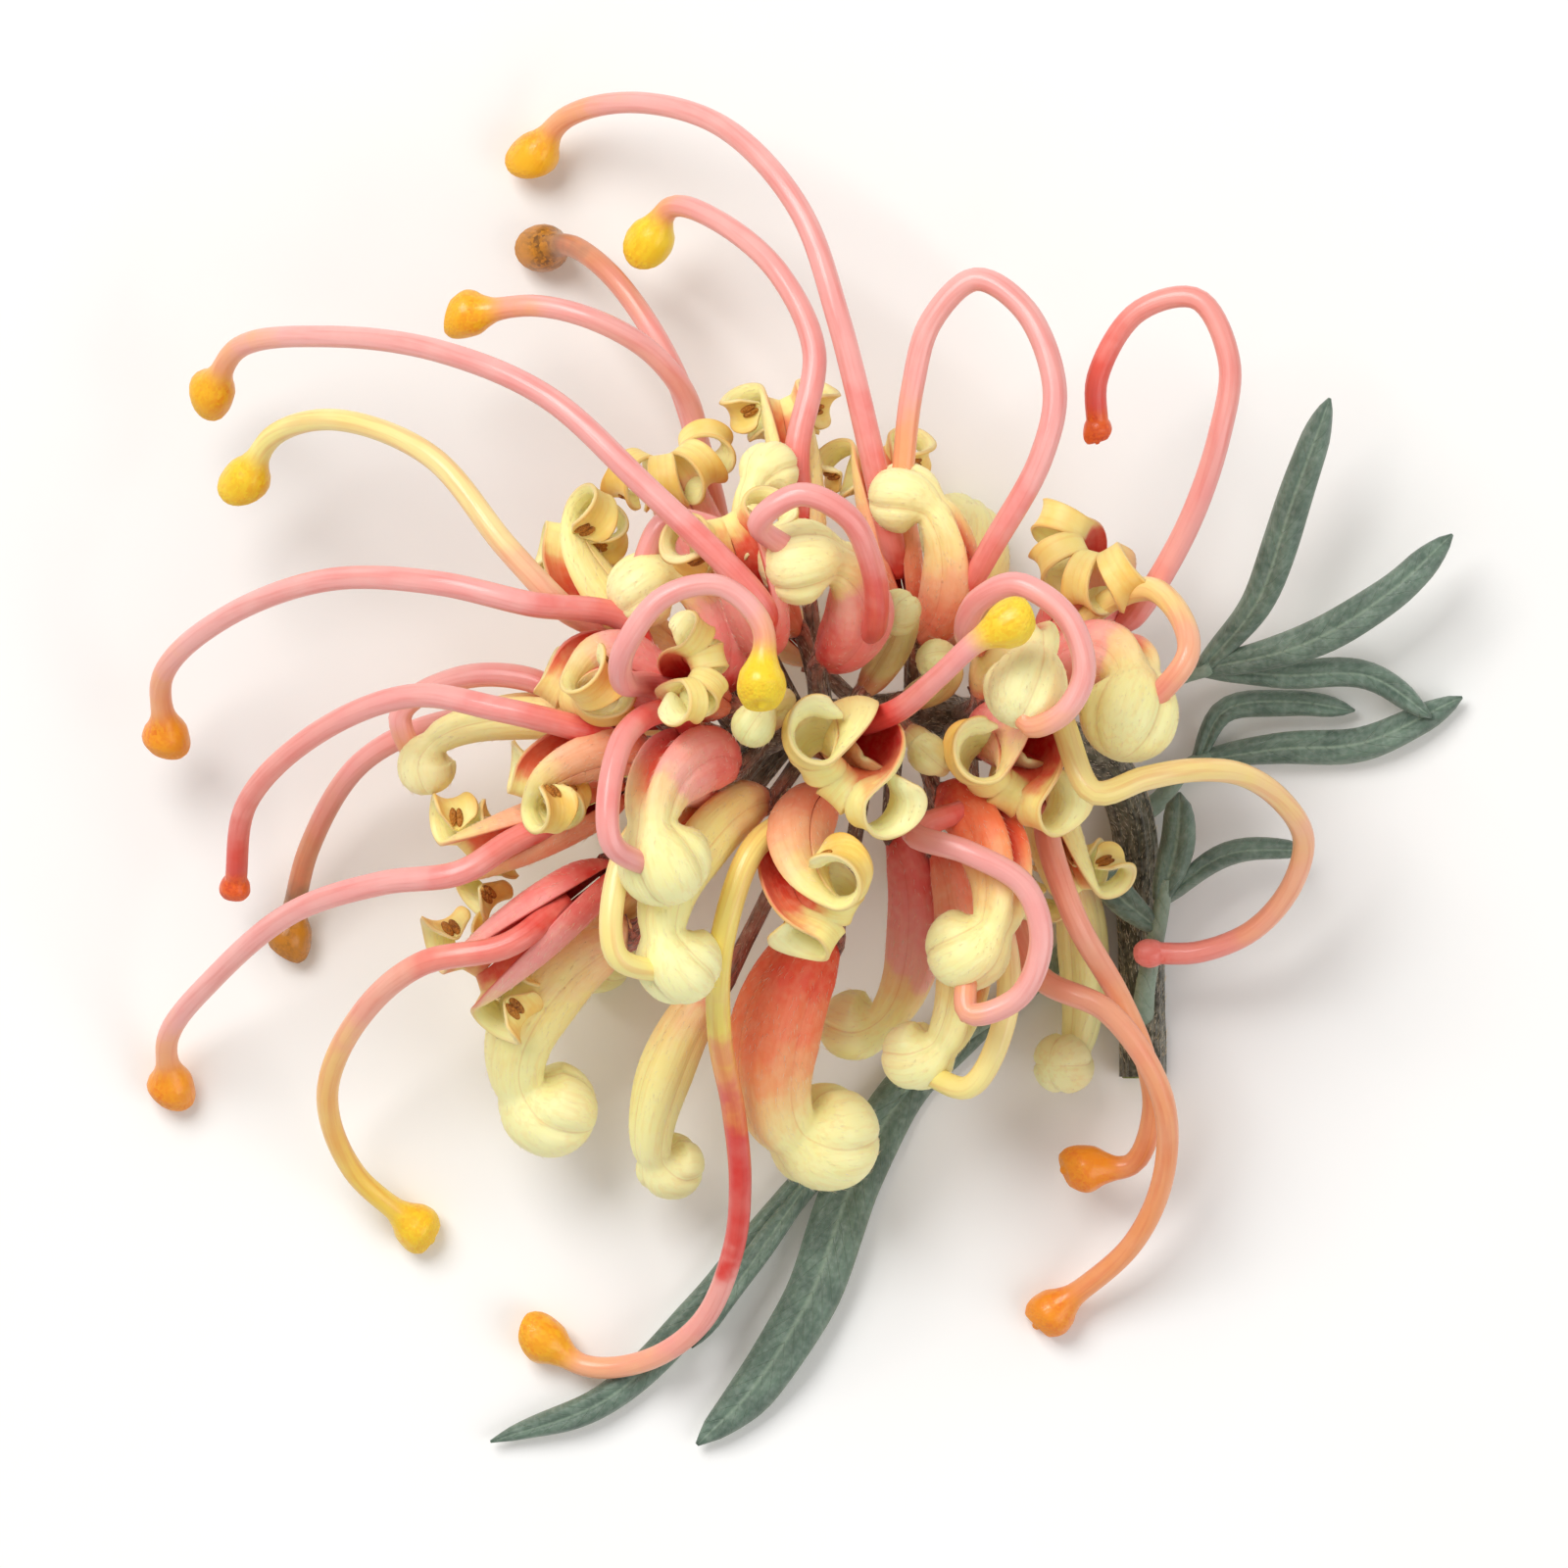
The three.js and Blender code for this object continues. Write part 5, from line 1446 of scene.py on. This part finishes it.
PETALS = {
    Blush.CREAM: PetalFinish(
        "cream_petal",
        outside=((0, "#f09a7c"), (0.14, "#fbd096"), (0.34, "#feee9e"), (0.56, "#fff8ac"), (1, "#fffab8")),
        throat=((0, "#b80f0a"), (0.3, "#e02a1a"), (0.5, "#f48a58"), (0.66, "#fff29c"), (0.88, "#fce27c"),
                (1, "#fff8ac")),
        flush="#fde27a"),
    Blush.PEACH: PetalFinish(
        "peach_petal",
        outside=((0, "#e8553a"), (0.16, "#f78c6c"), (0.38, "#fcb88c"), (0.54, "#feea98"), (0.66, "#fff7aa"),
                 (1, "#fffab8")),
        throat=((0, "#b80f0a"), (0.32, "#dc2214"), (0.52, "#f27850"), (0.66, "#ffee94"), (0.9, "#fbd66c"),
                (1, "#fff49a")),
        flush="#f8a87c"),
    Blush.PINK: PetalFinish(
        "pink_petal",
        outside=((0, "#dd3328"), (0.14, "#f26e68"), (0.34, "#f89a94"), (0.48, "#fbb4a6"), (0.58, "#fee09a"),
                 (0.68, "#fff6a8"), (1, "#fffab8")),
        throat=((0, "#ac0c08"), (0.34, "#d81a10"), (0.52, "#f06448"), (0.66, "#feea90"), (0.9, "#fad068"),
                (1, "#fff296")),
        flush="#f59086"),
    Blush.CORAL: PetalFinish(
        "coral_petal",
        outside=((0, "#e2301c"), (0.12, "#f2502f"), (0.3, "#fb7d50"), (0.44, "#fda86c"), (0.56, "#fdd88e"),
                 (0.66, "#fff6a8"), (1, "#fffab8")),
        throat=((0, "#ac0c08"), (0.34, "#d81a10"), (0.52, "#f06448"), (0.66, "#feea90"), (0.9, "#fad068"),
                (1, "#fff296")),
        flush="#f07a54"),
}

PINK_STYLE = ((0, "#e02c1c"), (0.1, "#f07c72"), (0.3, "#f5a29c"), (0.8, "#f6aca4"), (0.96, "#f6a468"))

STYLES = {
    Tone.PINK: StyleFinish("pink_style", PINK_STYLE, pollen=("#f7a01c", "#ee7c14")),
    Tone.ROSE: StyleFinish("rose_style", PINK_STYLE, pollen=("#fbd92c", "#f6bd1e")),
    Tone.AMBER: StyleFinish("amber_style", PINK_STYLE, pollen=("#fabb1e", "#f39414")),
    Tone.CREAM: StyleFinish("cream_style", ((0, "#ee8a78"), (0.12, "#f6b49c"), (0.4, "#fae094"), (0.9, "#fbe888")),
                            pollen=("#fbd42c", "#f6b61b")),
    Tone.SUNRISE: StyleFinish("sunrise_style", ((0, "#f29c88"), (0.15, "#fae28a"), (0.45, "#fbda88"),
                                                (0.75, "#f7b088"), (0.95, "#f28a7e")), pollen=("#f2857a", "#e8604e")),
    Tone.GOLD: StyleFinish("gold_style", ((0, "#e02c1c"), (0.12, "#f0786c"), (0.4, "#f6a58c"), (0.62, "#f9bf66"),
                                          (0.95, "#fad044")), pollen=("#fbd02a", "#f5ab1a")),
    Tone.FLAME: StyleFinish("flame_style", ((0, "#f8dc7a"), (0.3, "#fae062"), (0.4, "#f29a4c"), (0.5, "#e02418"),
                                            (0.64, "#e0362c"), (0.74, "#f4a096"), (0.96, "#f6a878")),
                            pollen=("#f9b41e", "#f29214")),
    Tone.APRICOT: StyleFinish("apricot_style", ((0, "#f28f7a"), (0.25, "#f6a186"), (0.6, "#f6a067"),
                                                (0.95, "#f69a58")), pollen=("#f8981a", "#ef7012")),
    Tone.RUBY: StyleFinish("ruby_style", ((0, "#d01810"), (0.2, "#e6463c"), (0.45, "#f28e86"), (0.85, "#f5a29c"),
                                          (1, "#f2948a")), pollen=("#fbd836", "#f6c024")),
    Tone.EMBER: StyleFinish("ember_style", ((0, "#e02c1c"), (0.1, "#f07c72"), (0.3, "#f5a29c"), (0.78, "#f4988c"),
                                            (0.93, "#e4402c"), (1, "#dc2e24")), pollen=("#ee6a24", "#cf3a1c")),
    Tone.WITHERED: StyleFinish("withered_style", ((0, "#e02c1c"), (0.15, "#f09284"), (0.6, "#f5a49c"),
                                                  (0.84, "#dc8a5c"), (0.96, "#945a26")),
                               pollen=("#cc841e", "#5d3812")),
}


@dataclass
class Studio:
    """The pale table, the soft lights and the camera over the flower."""

    span: float = 114.3
    focus_height: float = 15.0
    distance: float = 1500.0
    sensor: float = 36.0
    table: float = 3000.0
    lights: tuple[tuple[str, Point, float, float], ...] = (
        ("key", (-420.0, 520.0, 900.0), 600.0, 9.0),
        ("fill", (700.0, -380.0, 700.0), 700.0, 3.0),
    )
    sky: float = 0.42

    def build(self, effects: Effects) -> None:
        """Builds the studio."""
        self._camera()
        self._lights()
        half = self.table / 2 * MM
        drop = -0.05 * MM
        mesh = bpy.data.meshes.new("table")
        mesh.from_pydata([(-half, -half, drop), (half, -half, drop), (half, half, drop), (-half, half, drop)], [],
                         [(0, 1, 2, 3)])
        mesh.materials.append(FloorFinish().make(effects))
        table = bpy.data.objects.new("table", mesh)
        bpy.context.scene.collection.objects.link(table)

    def _camera(self) -> None:
        """Looks straight down on the middle of the picture."""
        data = bpy.data.cameras.new("camera")
        data.sensor_width = self.sensor
        data.lens = self.sensor * self.distance / self.span
        data.clip_end = 10.0
        camera = bpy.data.objects.new("camera", data)
        camera.location = Vector((-BOX_MIDDLE[0], -BOX_MIDDLE[1], self.distance + self.focus_height)) * MM
        bpy.context.scene.collection.objects.link(camera)
        bpy.context.scene.camera = camera

    def _lights(self) -> None:
        """Sets soft lights and an even pale sky."""
        for name, place, size, power in self.lights:
            data = bpy.data.lights.new(name, "AREA")
            data.size = size * MM
            data.energy = power
            light = bpy.data.objects.new(name, data)
            light.location = Vector(place) * MM
            light.rotation_euler = (-light.location).to_track_quat("-Z", "Y").to_euler()
            bpy.context.scene.collection.objects.link(light)
        world = bpy.data.worlds.new("pale_sky")
        world.use_nodes = True
        back = world.node_tree.nodes["Background"]
        back.inputs["Color"].default_value = linear("#ffffff")
        back.inputs["Strength"].default_value = self.sky
        bpy.context.scene.world = world
        bpy.context.scene.view_settings.view_transform = "Standard"


def build_floret(floret: Floret, petals: dict[Blush, bpy.types.Material], styles: dict[Tone, bpy.types.Material],
                 anther: bpy.types.Material, silk: bpy.types.Material) -> None:
    """Builds a floret's petals and its style.

    Args:
        floret: The floret.
        petals: The materials of the petals.
        styles: The materials of the styles.
        anther: The material of the anthers.
        silk: The material of the hairs.
    """
    node = f"perianth_{floret.name}"
    skin = Skin()
    if floret.stage is Stage.OPEN:
        OpenPetals(floret).add_to(skin)
    else:
        ShutPetals(floret).add_to(skin)
    skin.piece(f"petals_{floret.name}", node, floret.slot, (petals[floret.blush], anther, silk))
    if floret.stage is Stage.SHUT:
        return
    style = Skin()
    if floret.stage is Stage.OPEN:
        Pistil(floret).add_to(style)
        style.piece(f"style_{floret.name}", f"pistil_{floret.name}", "style", (styles[floret.tone],))
    else:
        CaughtStyle(floret).add_to(style)
        style.piece(f"caught_style_{floret.name}", node, "style", (styles[floret.tone],))


def main() -> None:
    """Builds the pieces in order, each logging its faces."""
    logging.basicConfig(level=logging.INFO, format="%(message)s")
    effects = Effects()
    Studio().build(effects)
    petals = {blush: finish.make(effects) for blush, finish in PETALS.items()}
    styles = {tone: finish.make(effects) for tone, finish in STYLES.items()}
    anther = AntherFinish().make(effects)
    silk = SilkFinish().make(effects)
    leaf = LeafFinish().make(effects)
    # Bark and stalk tones: their own browns, set darker as painted shade for the shadowed centre among the florets
    bark = BarkFinish("stem_bark", ((0, "#4b4a36"), (0.4, "#59553b"), (0.6, "#5f523a"), (1, "#6b5340")), "#2a261c")
    stalk = BarkFinish("downy_stalk", ((0, "#5a5034"), (0.5, "#80593f"), (1, "#bb6650")), "#463222", down=0.16,
                       across=3.0)
    bud = PetalFinish("young_bud", outside=((0, "#d98a62"), (0.3, "#e9d48c"), (0.7, "#eee9a4"), (1, "#dfe09a")),
                      throat=((0, "#d98a62"), (1, "#eee9a4")), flush="#cfd486")
    Stem().build([finish.make(effects) for finish in (bark, CutFinish(), stalk, bud)] + [silk])
    for floret in FLORETS:
        build_floret(floret, petals, styles, anther, silk)
    for plan in LEAVES:
        Leaf(plan).build(leaf)


if __name__ == "__main__":
    main()
